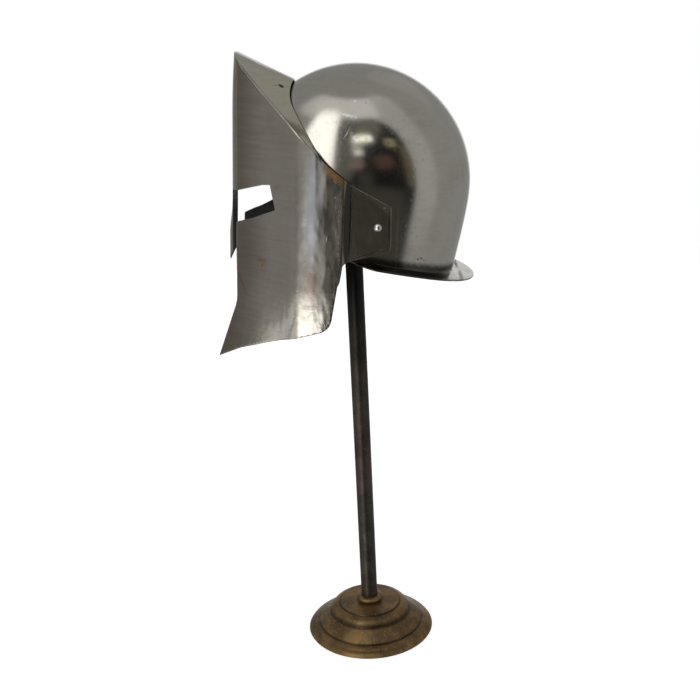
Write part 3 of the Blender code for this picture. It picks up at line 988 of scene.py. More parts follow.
@dataclass
class Visor:
    """The face: a folded plate with eye slots and a nasal, a roof over it and a tab to each hinge."""

    plan_corners: tuple[Corner, ...] = (
        Corner(-0.1281, 0.0000),
        Corner(-0.1281, 0.0161, 0.060),
        Corner(-0.1181, 0.0359, 0.010),
        Corner(-0.0530, 0.0881, 0.030),
        Corner(-0.0335, 0.0931, 0.120),
        Corner(-0.0030, 0.0947, 0.006),
        Corner(0.0035, 0.0912, 0.004),
        Corner(0.0520, 0.0912),
    )
    rear_edge_corners: tuple[Corner, ...] = (
        Corner(-0.0625, 0.1081),
        Corner(-0.0670, 0.0940, 0.030),
        Corner(-0.0275, 0.0335, 0.080),
        Corner(0.0060, 0.0083, 0.060),
        Corner(0.0600, -0.0183),
    )
    opening: tuple[Corner, ...] = (
        Corner(-0.1500, -0.0173),
        Corner(-0.1500, -0.2200),
        Corner(-0.1192, -0.1275, 0.0400),
        Corner(-0.1207, -0.0600, 0.1500),
        Corner(-0.1203, -0.0392, 0.0025),
        Corner(-0.1045, -0.0356, 0.0400),
        Corner(-0.0736, -0.0208, 0.0015),
        Corner(-0.0813, 0.0050, 0.0015),
        Corner(-0.0895, 0.0024, 0.0300),
    )
    nasal_tip: tuple[Corner, ...] = (
        Corner(-0.0152, -0.0760),
        Corner(0.0000, -0.0883),
        Corner(0.0152, -0.0760),
        Corner(0.0152, -0.2300),
        Corner(-0.0152, -0.2300),
    )
    outline_trim: tuple[Corner, ...] = (
        Corner(0.0800, 0.0300),
        Corner(0.0438, 0.0300),
        Corner(0.0466, -0.0565, 0.009),
        Corner(-0.0035, -0.0703, 0.014),
        Corner(-0.0138, -0.1422, 0.018),
        Corner(-0.0750, -0.1628, 0.200),
        Corner(-0.1150, -0.1808, 0.060),
        Corner(-0.1600, -0.2087),
        Corner(-0.1600, -0.2300),
        Corner(0.0800, -0.2300),
    )
    nasal_half_width: float = 0.0150
    nasal_depth: tuple[float, float] = (-0.160, -0.100)
    fold_at_peak: tuple[float, float] = (-0.1255, 0.1301)
    fold_slope: float = -1.008
    fold_curve: float = 0.62
    fold_lowest: float = -0.0200
    peak_rise: tuple[float, float] = (0.0046, 0.016)
    fold_below_edge: float = 0.0008
    side_edge_starts: float = -0.0500
    fold_reach: tuple[float, float] = (0.0016, 0.0034)
    fold_widens: tuple[float, float] = (-0.095, -0.030)
    fold_share_of_roof: float = 0.4
    roof_offset: float = 0.0021
    roof_leaves_dome: float = -0.0340
    roof_ends: float = -0.0262
    lean: tuple[float, float, float, float] = (0.0031, 0.070, 0.062, 0.040)
    keel: tuple[float, float, float, float] = (0.0039, -0.014, 0.046, 0.015)
    tuck: tuple[float, float, float, float] = (0.0038, -0.098, 0.060, 1.3)
    tuck_from_to: tuple[float, float] = (-0.100, -0.060)
    cheek_beyond_corner: float = 0.0022
    bottom: float = -0.215
    nose_ends: float = -0.095
    chin_starts: float = -0.125
    span: float = 0.0026
    plate_rows: int = 128
    fold_rows: int = 5
    roof_rows: int = 34

    def __post_init__(self) -> None:
        """Works out the plan and the roof's rear edge, point by point."""
        self.plan = split_long_spans(rounded_line(self.plan_corners, ARC_STEP), self.span)
        self.plan_run = travelled(self.plan)
        self.columns = len(self.plan) - 1
        edge = split_long_spans(rounded_line(self.rear_edge_corners, ARC_STEP), self.span)
        low = self.fold_at_peak[1] / 2
        self.side_edge = [spot for spot in edge if spot.x > self.side_edge_starts and spot.y < low]
        self.roof_edge = [self.over_dome(spot) for spot in edge if spot.x < self.roof_ends]
        self.roof_edge[0].y = 0.0
        self.roof_edge_run = travelled(self.roof_edge)
        self.roof_end_run = self.by_x(self.plan_run, self.roof_ends)
        self.cheek_start = self.plan_corners[2].spot
        self.cheek_way = (self.plan_corners[3].spot - self.cheek_start).normalized()
        self.cheek_start += self.cheek_way * self.cheek_beyond_corner
        self.cheek_start_run = self.by_x(self.plan_run, self.cheek_start.x)

    def by_x(self, values: Sequence[float], x: float) -> float:
        """Reads values, one for each point of the plan, off at a place along the helmet."""
        return read_off([spot.x for spot in self.plan], values, x)

    def side_edge_z(self, x: float) -> float:
        """Height of the visor's rear edge at a place along the helmet, where the plate reaches it."""
        return read_off([spot.x for spot in self.side_edge], [spot.y for spot in self.side_edge], x)

    def fold_z(self, x: float) -> float:
        """Height of the fold between plate and roof, which runs out flat along the tab.

        Args:
            x: a place along the helmet.

        Returns:
            The height there.
        """
        run = x - self.fold_at_peak[0]
        z = self.fold_at_peak[1] + self.fold_slope * run + self.fold_curve * run * run
        z += self.peak_rise[0] * max(1 - run / self.peak_rise[1], 0.0) ** 2
        if x > self.side_edge_starts:
            z = min(z, self.side_edge_z(x) - self.fold_below_edge)
        return max(z, self.fold_lowest)

    def over_dome(self, spot: Vector) -> Vector:
        """A point of the roof's rear edge: close over the dome, then out to the face plate.

        Args:
            spot: the point seen from the side.

        Returns:
            The point in space.
        """
        dome = Skull()
        offset = self.roof_offset
        reach = math.hypot(spot.x - dome.centre_x, spot.y - dome.centre_z) / (dome.radius + offset)
        on_dome = (dome.half_width + offset) * math.sqrt(max(1 - reach * reach, 0.0))
        on_plate = self.by_x([point.y for point in self.plan], spot.x)
        share = ramp(spot.x, self.roof_leaves_dome, self.roof_ends)
        return Vector((spot.x, on_dome + share * (on_plate - on_dome), spot.y))

    def plate_spot(self, column: int, z: float) -> Vector:
        """A point of the face plate: the nose above, and the flat cheeks drawn forward below.

        Args:
            column: its place round the plan.
            z: its height.

        Returns:
            The point on the right side.
        """
        spot = self.plan[column].copy()
        below_nose = ramp(-z, -self.nose_ends, -self.chin_starts)
        if spot.x < self.cheek_start.x:
            drawn = self.cheek_start - self.cheek_way * (self.cheek_start_run - self.plan_run[column])
            spot = spot.lerp(drawn, below_nose)
        lean_by, lean_from, lean_over, lean_width = self.lean
        keel_by, keel_from, keel_over, keel_width = self.keel
        lean = min(max((z - lean_from) / lean_over, 0.0), 1.0) ** 2
        keel = ramp(keel_from - z, 0.0, keel_over) * (1 - below_nose)
        spot.x += lean_by * lean * max(1 - spot.y / lean_width, 0.0)
        spot.x -= keel_by * keel * max(1 - spot.y / keel_width, 0.0)
        tuck_by, tuck_from, tuck_over, tuck_most = self.tuck
        tuck = min(max((tuck_from - z) / tuck_over, 0.0), tuck_most) ** 2
        spot.y -= tuck_by * tuck * ramp(spot.x, *self.tuck_from_to)
        return Vector((spot.x, spot.y, z))

    def rear_spot(self, column: int) -> Vector:
        """Where a column ends: on the roof's rear edge, or further back on the tab's upper edge."""
        spot = self.plan[column]
        if spot.x > self.roof_ends:
            return Vector((spot.x, spot.y, self.side_edge_z(spot.x)))
        run = self.roof_edge_run[-1] * self.plan_run[column] / self.roof_end_run
        return read_off(self.roof_edge_run, self.roof_edge, run)

    def corner(self, column: int, row: int) -> Vector:
        """A corner of the outer surface.

        Args:
            column: its place round the face, from one tab to the other.
            row: its place up the plate, round the fold and over the roof.

        Returns:
            The point, in the helmet's own frame.
        """
        half = abs(column - self.columns)
        hand = 1 if column > self.columns else -1
        fold = self.plate_spot(half, self.fold_z(self.plan[half].x))
        fold.z = self.fold_z(fold.x)
        rear = self.rear_spot(half)
        widened = ramp(fold.x, *self.fold_widens)
        wanted = self.fold_reach[0] + widened * (self.fold_reach[1] - self.fold_reach[0])
        reach = min(wanted, self.fold_share_of_roof * (rear - fold).length)
        below = self.plate_spot(half, fold.z - reach)
        behind = fold + (rear - fold).normalized() * reach
        if row <= self.plate_rows:
            z = self.bottom + (fold.z - reach - self.bottom) * row / self.plate_rows
            spot = self.plate_spot(half, z)
        elif row <= self.plate_rows + self.fold_rows:
            share = (row - self.plate_rows) / self.fold_rows
            spot = below.lerp(fold, share).lerp(fold.lerp(behind, share), share)
        else:
            spot = behind.lerp(rear, (row - self.plate_rows - self.fold_rows) / self.roof_rows)
        return Vector((spot.x, hand * spot.y, spot.z))

    def build(self, outside: bpy.types.Material, inside: bpy.types.Material) -> bpy.types.Object:
        """Makes the visor.

        Args:
            outside: the finish of its outer side.
            inside: the finish of its inner side.

        Returns:
            The piece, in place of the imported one.
        """
        maker = SheetMaker()
        rows = self.plate_rows + self.fold_rows + self.roof_rows
        face = maker.grid("visor_shell", 2 * self.columns, rows, self.corner, closed=False)
        depth = maker.trim_depth
        skull = Skull()
        cutters = [
            maker.cutter("outline_trim", self.outline_trim, -depth, depth, Side.FLANK),
            maker.cutter("left_opening", self.opening, -depth, -self.nasal_half_width, Side.FLANK),
            maker.cutter("right_opening", self.opening, self.nasal_half_width, depth, Side.FLANK),
            maker.cutter("below_nasal", self.nasal_tip, *self.nasal_depth, Side.FRONT),
            maker.drill(*skull.hinge, skull.hole_radius),
        ]
        maker.trim(face, cutters)
        maker.thicken(face, outside, inside, straighten=True)
        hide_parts("visor")
        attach(face, Body.VISOR.value)
        return face


# ---------------------------------------------------------------- turned pieces and rivets


def turned(name: str, profile: Sequence[tuple[float, float]], steps: int) -> bpy.types.Object:
    """A closed solid turned about its own Z.

    Args:
        name: the object's name.
        profile: radius and height, from the top down the outside.
        steps: how many faces it has round it.

    Returns:
        The object.
    """
    shape = bmesh.new()
    spots = [shape.verts.new((radius, 0, height)) for radius, height in profile]
    lines = [shape.edges.new(pair) for pair in zip(spots, spots[1:])]
    if profile[0][0] > 0:
        lines.append(shape.edges.new((spots[-1], spots[0])))
    bmesh.ops.spin(
        shape,
        geom=[*spots, *lines],
        cent=(0, 0, 0),
        axis=(0, 0, 1),
        angle=2 * math.pi,
        steps=steps,
        use_merge=True,
    )
    bmesh.ops.remove_doubles(shape, verts=shape.verts, dist=SEAM)
    bmesh.ops.recalc_face_normals(shape, faces=shape.faces)
    for face in shape.faces:
        face.smooth = True
    thing = new_object(name, shape)
    thing.data.set_sharp_from_angle(angle=TURNED_CREASE)
    return thing


@dataclass
class HingeRivets:
    """The two domed rivets that the visor swings on."""

    place: tuple[float, float] = (0.0325, -0.0321)
    head_radius: float = 0.0039
    head_foot: float = 0.0916
    head_height: float = 0.0025
    shank: tuple[tuple[float, float], ...] = (
        (0.0020, 0.0916),
        (0.0020, 0.0893),
        (0.0050, 0.0893),
        (0.0050, 0.0869),
        (0.0020, 0.0869),
        (0.0020, 0.0829),
        (0.0040, 0.0829),
        (0.0040, 0.0815),
        (0.0000, 0.0815),
    )
    arc_steps: int = 10

    def profile(self) -> list[tuple[float, float]]:
        """The rivet's outline, from the top of its head to the end of its shank."""
        arc = []
        for step in range(self.arc_steps + 1):
            angle = math.pi / 2 * step / self.arc_steps
            height = self.head_foot + self.head_height * math.cos(angle)
            arc.append((self.head_radius * math.sin(angle), height))
        return [*arc, *self.shank]

    def tree(self) -> bpy.types.NodeTree:
        """A tree that sets the mesh on both sides of the helmet, turned outward."""
        tree = bpy.data.node_groups.new("hinge_pair", "GeometryNodeTree")
        face = tree.interface
        face.new_socket("Rivet", in_out="INPUT", socket_type="NodeSocketGeometry")
        face.new_socket("Hinge Place", in_out="INPUT", socket_type="NodeSocketVector")
        face.new_socket("Outward Turn", in_out="INPUT", socket_type="NodeSocketFloat")
        face.new_socket("Finish", in_out="INPUT", socket_type="NodeSocketMaterial")
        face.new_socket("Pair", in_out="OUTPUT", socket_type="NodeSocketGeometry")
        maker = NodeMaker(tree)
        given = tree.nodes.new("NodeGroupInput")
        rivet, place, turn, finish = (Wire(maker, given.outputs[index]) for index in range(4))
        values = {"Count": 2, "Start Location": place, "Offset": (0, 0, 0)}
        points = maker.node("GeometryNodeMeshLine", {}, values)
        index = maker.node("GeometryNodeInputIndex", {}, {})
        turned_by = maker.node("ShaderNodeCombineXYZ", {}, {0: (index * 2.0 - 1.0) * turn})
        values = {"Points": points, "Instance": rivet, "Rotation": turned_by}
        pair = maker.node("GeometryNodeInstanceOnPoints", {}, values)
        pair = maker.node("GeometryNodeRealizeInstances", {}, {0: pair})
        pair = maker.node("GeometryNodeSetMaterial", {}, {"Geometry": pair, "Material": finish})
        out = tree.nodes.new("NodeGroupOutput")
        tree.links.new(pair.socket, out.inputs[0])
        return tree

    def build(self, finish: bpy.types.Material) -> bpy.types.Object:
        """Makes both rivets.

        Args:
            finish: their finish.

        Returns:
            The piece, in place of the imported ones.
        """
        pair = turned("hinge_rivets", self.profile(), 40)
        tree = self.tree()
        setter = pair.modifiers.new("pair", "NODES")
        setter.node_group = tree
        sockets = {item.name: item.identifier for item in tree.interface.items_tree if item.in_out == "INPUT"}
        setter[sockets["Hinge Place"]] = (self.place[0], 0.0, self.place[1])
        setter[sockets["Outward Turn"]] = math.pi / 2
        setter[sockets["Finish"]] = finish
        bake_modifiers(pair)
        pair.data.transform(HELMET_POSE)
        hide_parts("left_rivet", "right_rivet")
        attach(pair, Body.STAND.value)
        return pair


@dataclass
class Stand:
    """The turned base, the bead round the rod's foot, and the rod with its hidden cap."""

    rod_radius: float = 0.0098
    rod_foot: float = 0.0361
    cap_radius: float = 0.030
    cap_foot: float = 0.6543
    cap_top: float = 0.6713
    cap_edge: float = 0.6593
    collar_radius: float = 0.0158
    collar_foot: float = 0.0359
    collar_top: float = 0.0425
    collar_rim: float = 0.0015
    # Each moulding: inner radius and height, outer radius and height, bulge.
    mouldings: tuple[tuple[float, float, float, float, float], ...] = (
        (0.0000, 0.0356, 0.0366, 0.0344, 0.0000),
        (0.0374, 0.0330, 0.0480, 0.0256, 0.0018),
        (0.0482, 0.0232, 0.0630, 0.0112, 0.0004),
        (0.0634, 0.0096, 0.0700, 0.0062, 0.0004),
        (0.0700, 0.0062, 0.0762, 0.0012, 0.0008),
    )
    foot_inset: float = 0.0008
    moulding_steps: int = 10
    collar_steps: int = 16
    cap_steps: int = 12
    steps: int = 128

    def base_profile(self) -> list[tuple[float, float]]:
        """The base from its middle out and down, each moulding swelling a little between its edges."""
        profile: list[tuple[float, float]] = []
        for inner, inner_z, outer, outer_z, bulge in self.mouldings:
            start, end = Vector((inner, inner_z)), Vector((outer, outer_z))
            outward = Vector((start.y - end.y, end.x - start.x)).normalized()
            pieces = self.moulding_steps if bulge else 1
            for piece in range(pieces + 1):
                swell = bulge * math.sin(math.pi * piece / pieces)
                spot = start.lerp(end, piece / pieces) + outward * swell
                if not profile or (Vector(profile[-1]) - spot).length > GAP:
                    profile.append((spot.x, spot.y))
        rim = self.mouldings[-1][2]
        return [*profile, (rim - self.foot_inset, 0.0), (0.0, 0.0)]

    def collar_profile(self) -> list[tuple[float, float]]:
        """The bead, half round outside and straight inside."""
        inside = self.rod_radius + GAP
        middle = (self.collar_foot + self.collar_top) / 2
        half_height = (self.collar_top - self.collar_foot) / 2
        swell = self.collar_radius - inside - self.collar_rim
        profile = [(inside, self.collar_top)]
        for piece in range(self.collar_steps + 1):
            angle = math.pi * piece / self.collar_steps
            radius = inside + self.collar_rim + swell * math.sin(angle)
            profile.append((radius, middle + half_height * math.cos(angle)))
        return [*profile, (inside, self.collar_foot)]

    def rod_profile(self) -> list[tuple[float, float]]:
        """The rod and the domed cap that carries the helmet."""
        profile = []
        for piece in range(self.cap_steps + 1):
            angle = math.pi / 2 * piece / self.cap_steps
            height = self.cap_edge + (self.cap_top - self.cap_edge) * math.cos(angle)
            profile.append((self.cap_radius * math.sin(angle), height))
        rod = [(self.rod_radius, self.cap_foot), (self.rod_radius, self.rod_foot), (0.0, self.rod_foot)]
        return [*profile, *rod]

    def build(self, bronze: bpy.types.Material, iron: bpy.types.Material) -> list[bpy.types.Object]:
        """Makes the stand.

        Args:
            bronze: the finish of the base and its bead.
            iron: the finish of the rod.

        Returns:
            The pieces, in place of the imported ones.
        """
        table = (
            ("base_turning", self.base_profile(), bronze, "stand_base", "base_iron"),
            ("rod_bead", self.collar_profile(), bronze, "rod_collar", "base_iron"),
            ("rod_turning", self.rod_profile(), iron, "support_rod", "rod_iron"),
        )
        pieces = []
        for name, profile, finish, node, slot in table:
            piece = turned(name, profile, self.steps)
            piece.data.materials.append(finish)
            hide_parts(node)
            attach(piece, Body.STAND.value)
            pieces.append(piece)
        return pieces


# ---------------------------------------------------------------- the room


@dataclass(frozen=True)
class Glow:
    """A bright or dark area of the room, in degrees: side is measured to the left of the front."""

    side: float
    height: float
    half_width: float
    half_height: float
    level: float
    soft: float = 0.6
    tint: Colour = (1.0, 1.0, 1.0)


@dataclass(frozen=True)
class Room:
    """A pale room with a tall soft light, a dark corner and a white backdrop."""

    grey: float = 0.32
    behind: float = 0.80
    glows: tuple[Glow, ...] = (
        Glow(8.0, 60.0, 58.0, 9.0, 0.74, 0.96),
        Glow(-46.0, 24.0, 16.0, 40.0, 0.46, 0.81),
        Glow(-90.0, 10.0, 28.0, 60.0, 0.34, 0.69),
        Glow(-140.0, 55.0, 22.0, 16.0, 0.38, 0.76),
        Glow(34.0, -13.0, 6.0, 5.0, 0.64, 1.17),
        Glow(31.5, 31.0, 12.5, 20.0, 1.9, 0.95),
        Glow(62.0, -25.0, 22.0, 9.0, 1.0, 0.61),
        Glow(-10.0, 8.0, 25.0, 38.0, 0.012, 0.11),
        Glow(9.0, -10.0, 4.0, 8.0, 0.03, 0.69),
        Glow(-2.0, -24.0, 26.0, 18.0, 0.06, 0.32, (1.0, 0.95, 0.8)),
        Glow(20.8, -7.5, 5.3, 6.0, 0.64, 0.45),
        Glow(29.5, -26.5, 13.8, 9.0, 3.4, 0.32),
        Glow(9.0, 25.0, 7.0, 22.0, 0.125, 0.58, (1.0, 0.98, 0.93)),
        Glow(-11.0, 42.0, 10.0, 6.0, 0.16, 0.85, (1.0, 0.98, 0.85)),
        Glow(-1.0, 27.0, 4.0, 5.0, 0.45, 0.45, (1.0, 1.0, 0.94)),
        Glow(-6.0, 31.5, 7.6, 2.8, 1.8, 0.35, (1.0, 1.0, 0.92)),
        Glow(-2.0, 20.5, 3.2, 2.0, 1.1, 0.54, (1.0, 0.98, 0.94)),
        Glow(0.0, 12.0, 5.0, 3.5, 0.22, 0.73, (1.0, 0.8, 0.75)),
        Glow(-18.0, 13.0, 5.0, 5.0, 0.1, 0.6, (1.0, 0.6, 0.5)),
        Glow(-25.0, 28.0, 3.2, 3.0, 0.36, 0.65, (1.0, 0.88, 0.6)),
        Glow(-32.0, 10.0, 2.6, 14.0, 0.13, 0.6, (1.0, 0.85, 0.6)),
        Glow(-6.0, 0.0, 4.0, 5.0, 0.05, 0.9, (1.0, 1.0, 0.85)),
    )

    def build(self) -> None:
        """Makes the world."""
        world = bpy.data.worlds.new("pale_room")
        world.use_nodes = True
        bpy.context.scene.world = world
        maker = NodeMaker(world.node_tree)
        way = maker.node("ShaderNodeTexCoord", {}, {}, "Generated")
        x, y, z = (maker.node("ShaderNodeSeparateXYZ", {}, {0: way}, index) for index in range(3))
        to_degrees = 180 / math.pi
        turn = maker.node("ShaderNodeMath", {"operation": "ARCTAN2"}, {0: x * -1.0, 1: y * -1.0}) * to_degrees
        rise = maker.node("ShaderNodeMath", {"operation": "ARCSINE"}, {0: z}) * to_degrees
        colour: Wire | Colour = (self.grey,) * 3
        colour = maker.colour_mix(y.step(0.90, 0.96), colour, (self.behind,) * 3)
        way = maker.node("ShaderNodeCombineXYZ", {}, {0: turn, 1: rise, 2: 0.0})
        for glow in self.glows:
            share = self.share(maker, glow, way)
            colour = maker.colour_mix(share, colour, tuple(glow.level * part for part in glow.tint))
        seen = maker.node("ShaderNodeLightPath", {}, {}, "Is Camera Ray")
        colour = maker.colour_mix(seen, colour, (1.0, 1.0, 1.0))
        light = maker.node("ShaderNodeBackground", {}, {"Color": colour, "Strength": 1.0})
        output = maker.tree.nodes.new("ShaderNodeOutputWorld")
        maker.tree.links.new(light.socket, output.inputs["Surface"])

    def share(self, maker: NodeMaker, glow: Glow, way: Wire) -> Wire:
        """How much of a glow shows in a direction, with a rounded outline.

        Args:
            maker: the world's node maker.
            glow: the glow.
            way: the direction's degrees round to the left and above the horizon.

        Returns:
            1 inside the glow, 0 outside, and a soft edge between.
        """
        values = {
            "Vector": way,
            "Location": (glow.side, glow.height, 0.0),
            "Scale": (glow.half_width, glow.half_height, 1.0),
        }
        offset = maker.node("ShaderNodeMapping", {"vector_type": "TEXTURE"}, values)
        kind = "ShaderNodeVectorMath"
        squared = maker.node(kind, {"operation": "MULTIPLY"}, {0: offset, 1: offset})
        reach = maker.node(kind, {"operation": "DOT_PRODUCT"}, {0: squared, 1: squared}, "Value")
        return reach.step((1 + glow.soft / 2) ** 4, max(1 - glow.soft / 2, 0.0) ** 4)


@dataclass(frozen=True)
class Floor:
    """A round white floor that fades into the backdrop."""

    radius: float = 2.2
    drop: float = 0.0003
    glow: float = 0.72
    sides: int = 96
    shades: tuple[Colour, Colour] = ((0.80, 0.80, 0.80), (0.84, 0.84, 0.84))

    def build(self) -> bpy.types.Object:
        """Makes the floor and stages it."""
        shape = bmesh.new()
        place = Matrix.Translation((0, 0, -self.drop))
        bmesh.ops.create_circle(
            shape, cap_ends=True, segments=self.sides, radius=self.radius, matrix=place
        )
        floor = new_object("pale_floor", shape)
        maker = MaterialMaker("floor_white")
        grain = maker.noise(maker.place, 3.0, 2.0)
        colour = maker.colour_mix(grain, *self.shades)
        values = {
            "Base Color": colour,
            "Roughness": 0.9,
            "Emission Color": (1, 1, 1, 1),
            "Emission Strength": self.glow,
        }
        maker.output(maker.node("ShaderNodeBsdfPrincipled", {}, values))
        floor.data.materials.append(maker.material)
        floor.visible_glossy = False
        return floor


@dataclass(frozen=True)
class Camera:
    """A camera a little above the helmet's side, looking down at it."""

    place: Colour = (0.04812, -1.09581, 0.68969)
    forward: Colour = (-0.05009, 0.95586, -0.28953)
    up: Colour = (0.03382, 0.29135, 0.95602)
    lens: float = 51.43
    sensor: float = 36.0

    def build(self) -> None:
        """Makes the camera and hands it to the scene."""
        made = bpy.data.cameras.new("room_camera")
        made.lens = self.lens
        made.sensor_width = self.sensor
        camera = bpy.data.objects.new("room_camera", made)
        bpy.context.scene.collection.objects.link(camera)
        forward = Vector(self.forward).normalized()
        right = forward.cross(Vector(self.up)).normalized()
        axes = Matrix((right, right.cross(forward), -forward)).transposed()
        camera.matrix_world = Matrix.Translation(self.place) @ axes.to_4x4()
        bpy.context.scene.camera = camera


# ---------------------------------------------------------------- putting it together


RUST = (0.30, 0.16, 0.06)
DARK = (0.035, 0.032, 0.027)
BRIGHT = (0.95, 0.95, 0.93)
SKULL_FINISH = SkullFinish(
    name="skull_steel",
    roughness=0.13,
    brushing=0.000004,
    brushing_stretch=(60.0, 60.0, 260.0),
    dents=0.0004,
    marks=(
        Mark((0.0044, -0.0629, 0.0904), (0.0016, 0.0010), BRIGHT, 0.9),
        Mark((-0.0010, -0.0705, 0.0770), (0.0065, 0.0010), BRIGHT, 0.75, 10.0, 1.2, 0.006),
        Mark((0.0058, -0.0721, 0.0756), (0.0014, 0.0016), BRIGHT, 0.8, 0.0, 1.2, 0.004),
        Mark((-0.0012, -0.0783, 0.0609), (0.0006, 0.0050), BRIGHT, 0.35, 25.0, 1.4, 0.008),
        Mark((0.0025, -0.0783, 0.0585), (0.0005, 0.0030), BRIGHT, 0.35, -30.0, 1.4, 0.008),
        Mark((0.0750, -0.0712, -0.0667), (0.0012, 0.0010), DARK, 0.6, 0.0, 1.0, 0.002),
        Mark((0.0785, -0.0712, -0.0660), (0.0012, 0.0010), DARK, 0.6, 0.0, 1.0, 0.002),
        Mark((0.0815, -0.0690, -0.0680), (0.0010, 0.0010), DARK, 0.5, 0.0, 1.0, 0.002),
        Mark((0.0523, -0.0810, -0.0400), (0.0012, 0.0260), BRIGHT, 0.15, 0.0, 1.6),
        Mark((0.1215, 0.0328, -0.0901), (0.0022, 0.0022), DARK, 0.8, 0.0, 0.8, 0.002),
        Mark((0.1236, -0.0369, -0.0907), (0.0025, 0.0012), DARK, 0.6, 0.0, 1.0, 0.002),
    ),
)
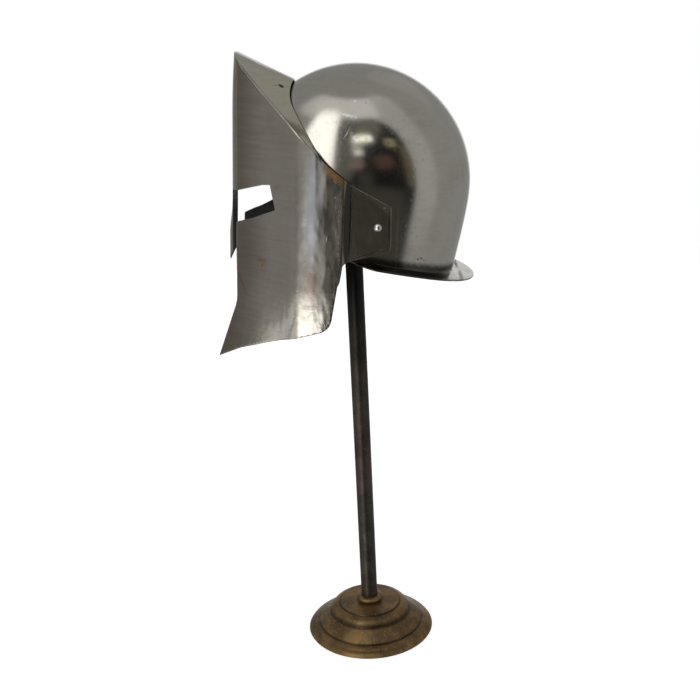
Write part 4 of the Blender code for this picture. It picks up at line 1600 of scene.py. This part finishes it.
VISOR_FINISH = VisorFinish(
    name="visor_steel",
    colour=(0.45, 0.42, 0.365),
    tarnish=(0.31, 0.275, 0.215),
    roughness=0.20,
    brushing=0.00002,
    brushing_stretch=(50.0, 50.0, 1100.0),
    ragged=0.00085,
    dents=0.0005,
    marks=(
        Mark((-0.0734, -0.0332, 0.1014), (0.0032, 0.0010), DARK, 0.95, 22.0, 0.6, 0.001),
        Mark((-0.0790, -0.0332, 0.1020), (0.0014, 0.0008), RUST, 0.35, 0.0, 1.2, 0.002),
        Mark((-0.0120, -0.0871, 0.0190), (0.0120, 0.0045), (0.42, 0.21, 0.05), 0.90, 40.0, 1.4, 0.006),
        Mark((-0.0905, -0.0580, -0.0770), (0.0055, 0.0017), RUST, 0.60, -8.0, 1.2, 0.004),
        Mark((-0.0885, -0.0600, -0.0812), (0.0014, 0.0042), RUST, 0.60, 25.0, 1.2, 0.004),
        Mark((-0.0724, -0.0725, 0.0029), (0.0040, 0.0018), RUST, 0.30, -20.0, 1.4, 0.005),
        Mark((-0.1145, -0.0390, -0.1025), (0.0014, 0.0135), (0.16, 0.08, 0.06), 0.50, -21.0, 1.2, 0.004),
        Mark((-0.1010, -0.0450, -0.0920), (0.0050, 0.0040), RUST, 0.12, 0.0, 1.8, 0.008),
        Mark((-0.0343, -0.0923, -0.0917), (0.0070, 0.0140), (0.30, 0.20, 0.16), 0.55, 0.0, 1.6, 0.010),
        # Painted reflection: a light bluish streak and a darker grey streak beside it, shaping the tall
        # light's band on the cheek.
        Mark((-0.0340, -0.0922, -0.0150), (0.0090, 0.0500), (0.54, 0.56, 0.59), 0.70, 0.0, 1.2, 0.012, 0.24),
        Mark((-0.0480, -0.0900, -0.0300), (0.0040, 0.0700), (0.30, 0.285, 0.25), 0.55, 0.0, 1.4, 0.012, 0.24),
        # Painted shade: a broad soft darkening on the front of the cheek beside the nose.
        Mark((-0.1071, -0.0447, -0.0693), (0.0200, 0.0330), (0.20, 0.18, 0.145), 0.50, 0.0, 1.9, 0.006, 0.26),
        Mark((-0.0190, -0.0939, -0.0449), (0.0007, 0.0026), BRIGHT, 0.80, 0.0, 0.6, 0.001, 0.25),
        Mark((-0.0178, -0.0939, -0.0449), (0.0006, 0.0026), DARK, 0.80, 0.0, 0.6, 0.001),
        Mark((-0.0117, -0.0942, -0.0030), (0.0012, 0.0010), BRIGHT, 0.22, 0.0, 1.0, 0.002),
        # Painted highlight: a pale streak and a darker one beside it, low on the cheek where the bright
        # reflection falls.
        Mark((-0.0575, -0.0820, -0.1390), (0.0032, 0.0190), (0.72, 0.72, 0.68), 0.45, 11.0, 1.4, 0.010),
        Mark((-0.0530, -0.0840, -0.1370), (0.0014, 0.0170), (0.26, 0.24, 0.20), 0.50, 14.0, 1.2, 0.010),
        Mark((-0.0188, -0.0920, -0.1393), (0.0008, 0.0080), BRIGHT, 0.45, -18.0, 1.2, 0.006),
        Mark((-0.0215, -0.0920, -0.1400), (0.0008, 0.0060), DARK, 0.45, -24.0, 1.2, 0.006),
        Mark((-0.0045, -0.0946, -0.0250), (0.0030, 0.0480), (0.26, 0.23, 0.13), 0.50, 0.0, 1.4, 0.004),
        # Painted shade: a dark line in the hollow crease between cheek and tab.
        Mark((0.0012, -0.0930, -0.0280), (0.0042, 0.0500), DARK, 0.92, 0.0, 0.5, 0.002),
        # Painted shade along the raised tab's rear and lower edges.
        Mark((0.0437, -0.0912, -0.0300), (0.0011, 0.0240), DARK, 0.80, 0.0, 1.0, 0.002),
        Mark((0.0225, -0.0912, -0.0600), (0.0200, 0.0011), DARK, 0.80, -19.0, 1.0, 0.002),
        Mark((0.0387, -0.0912, -0.0117), (0.0016, 0.0012), BRIGHT, 0.35, 0.0, 1.0, 0.002),
    ),
)
RIVET_FINISH = SteelFinish(
    name="rivet_steel",
    colour=(0.82, 0.81, 0.78),
    tarnish_share=0.1,
    roughness=0.20,
    brushing=0.000002,
    dents=0.00005,
    dent_size=0.006,
)
INSIDE_FINISH = DullFinish(
    name="helmet_inside",
    colour=(0.055, 0.060, 0.056),
    other=(0.035, 0.038, 0.036),
    worn=(0.10, 0.08, 0.06),
    roughness=0.6,
    metallic=0.4,
    grain=0.00006,
    pose=HELMET_POSE,
)
BRONZE_FINISH = DullFinish(
    name="base_bronze",
    colour=(0.265, 0.162, 0.062),
    other=(0.135, 0.086, 0.038),
    worn=(0.42, 0.28, 0.12),
    roughness=0.40,
    metallic=0.70,
    grain=0.00009,
    # Painted shade in the base's grooves.
    groove_shades=((0.0372, 0.0020), (0.0482, 0.0026), (0.0632, 0.0014)),
)
ROD_FINISH = DullFinish(
    name="rod_iron",
    colour=(0.068, 0.055, 0.041),
    other=(0.036, 0.030, 0.023),
    worn=(0.12, 0.095, 0.068),
    roughness=0.42,
    metallic=0.7,
    grain=0.00005,
    # Painted shadow: the rod darkens towards its top, under the helmet.
    shade=(0.26, 0.44, 0.18),
)


def main() -> None:
    """Builds the pieces in order and lights them."""
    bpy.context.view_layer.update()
    bpy.context.scene.view_settings.view_transform = "Standard"
    Camera().build()
    Room().build()
    Floor().build()
    inside = INSIDE_FINISH.material()
    pieces = [
        Skull().build(SKULL_FINISH.material(), inside),
        Visor().build(VISOR_FINISH.material(), inside),
        HingeRivets().build(RIVET_FINISH.material()),
        *Stand().build(BRONZE_FINISH.material(), ROD_FINISH.material()),
    ]
    for piece in pieces:
        LOG.info("%s: %d faces", piece.name, len(piece.data.polygons))


if __name__ == "__main__":
    logging.basicConfig(level=logging.INFO, format="%(message)s")
    main()
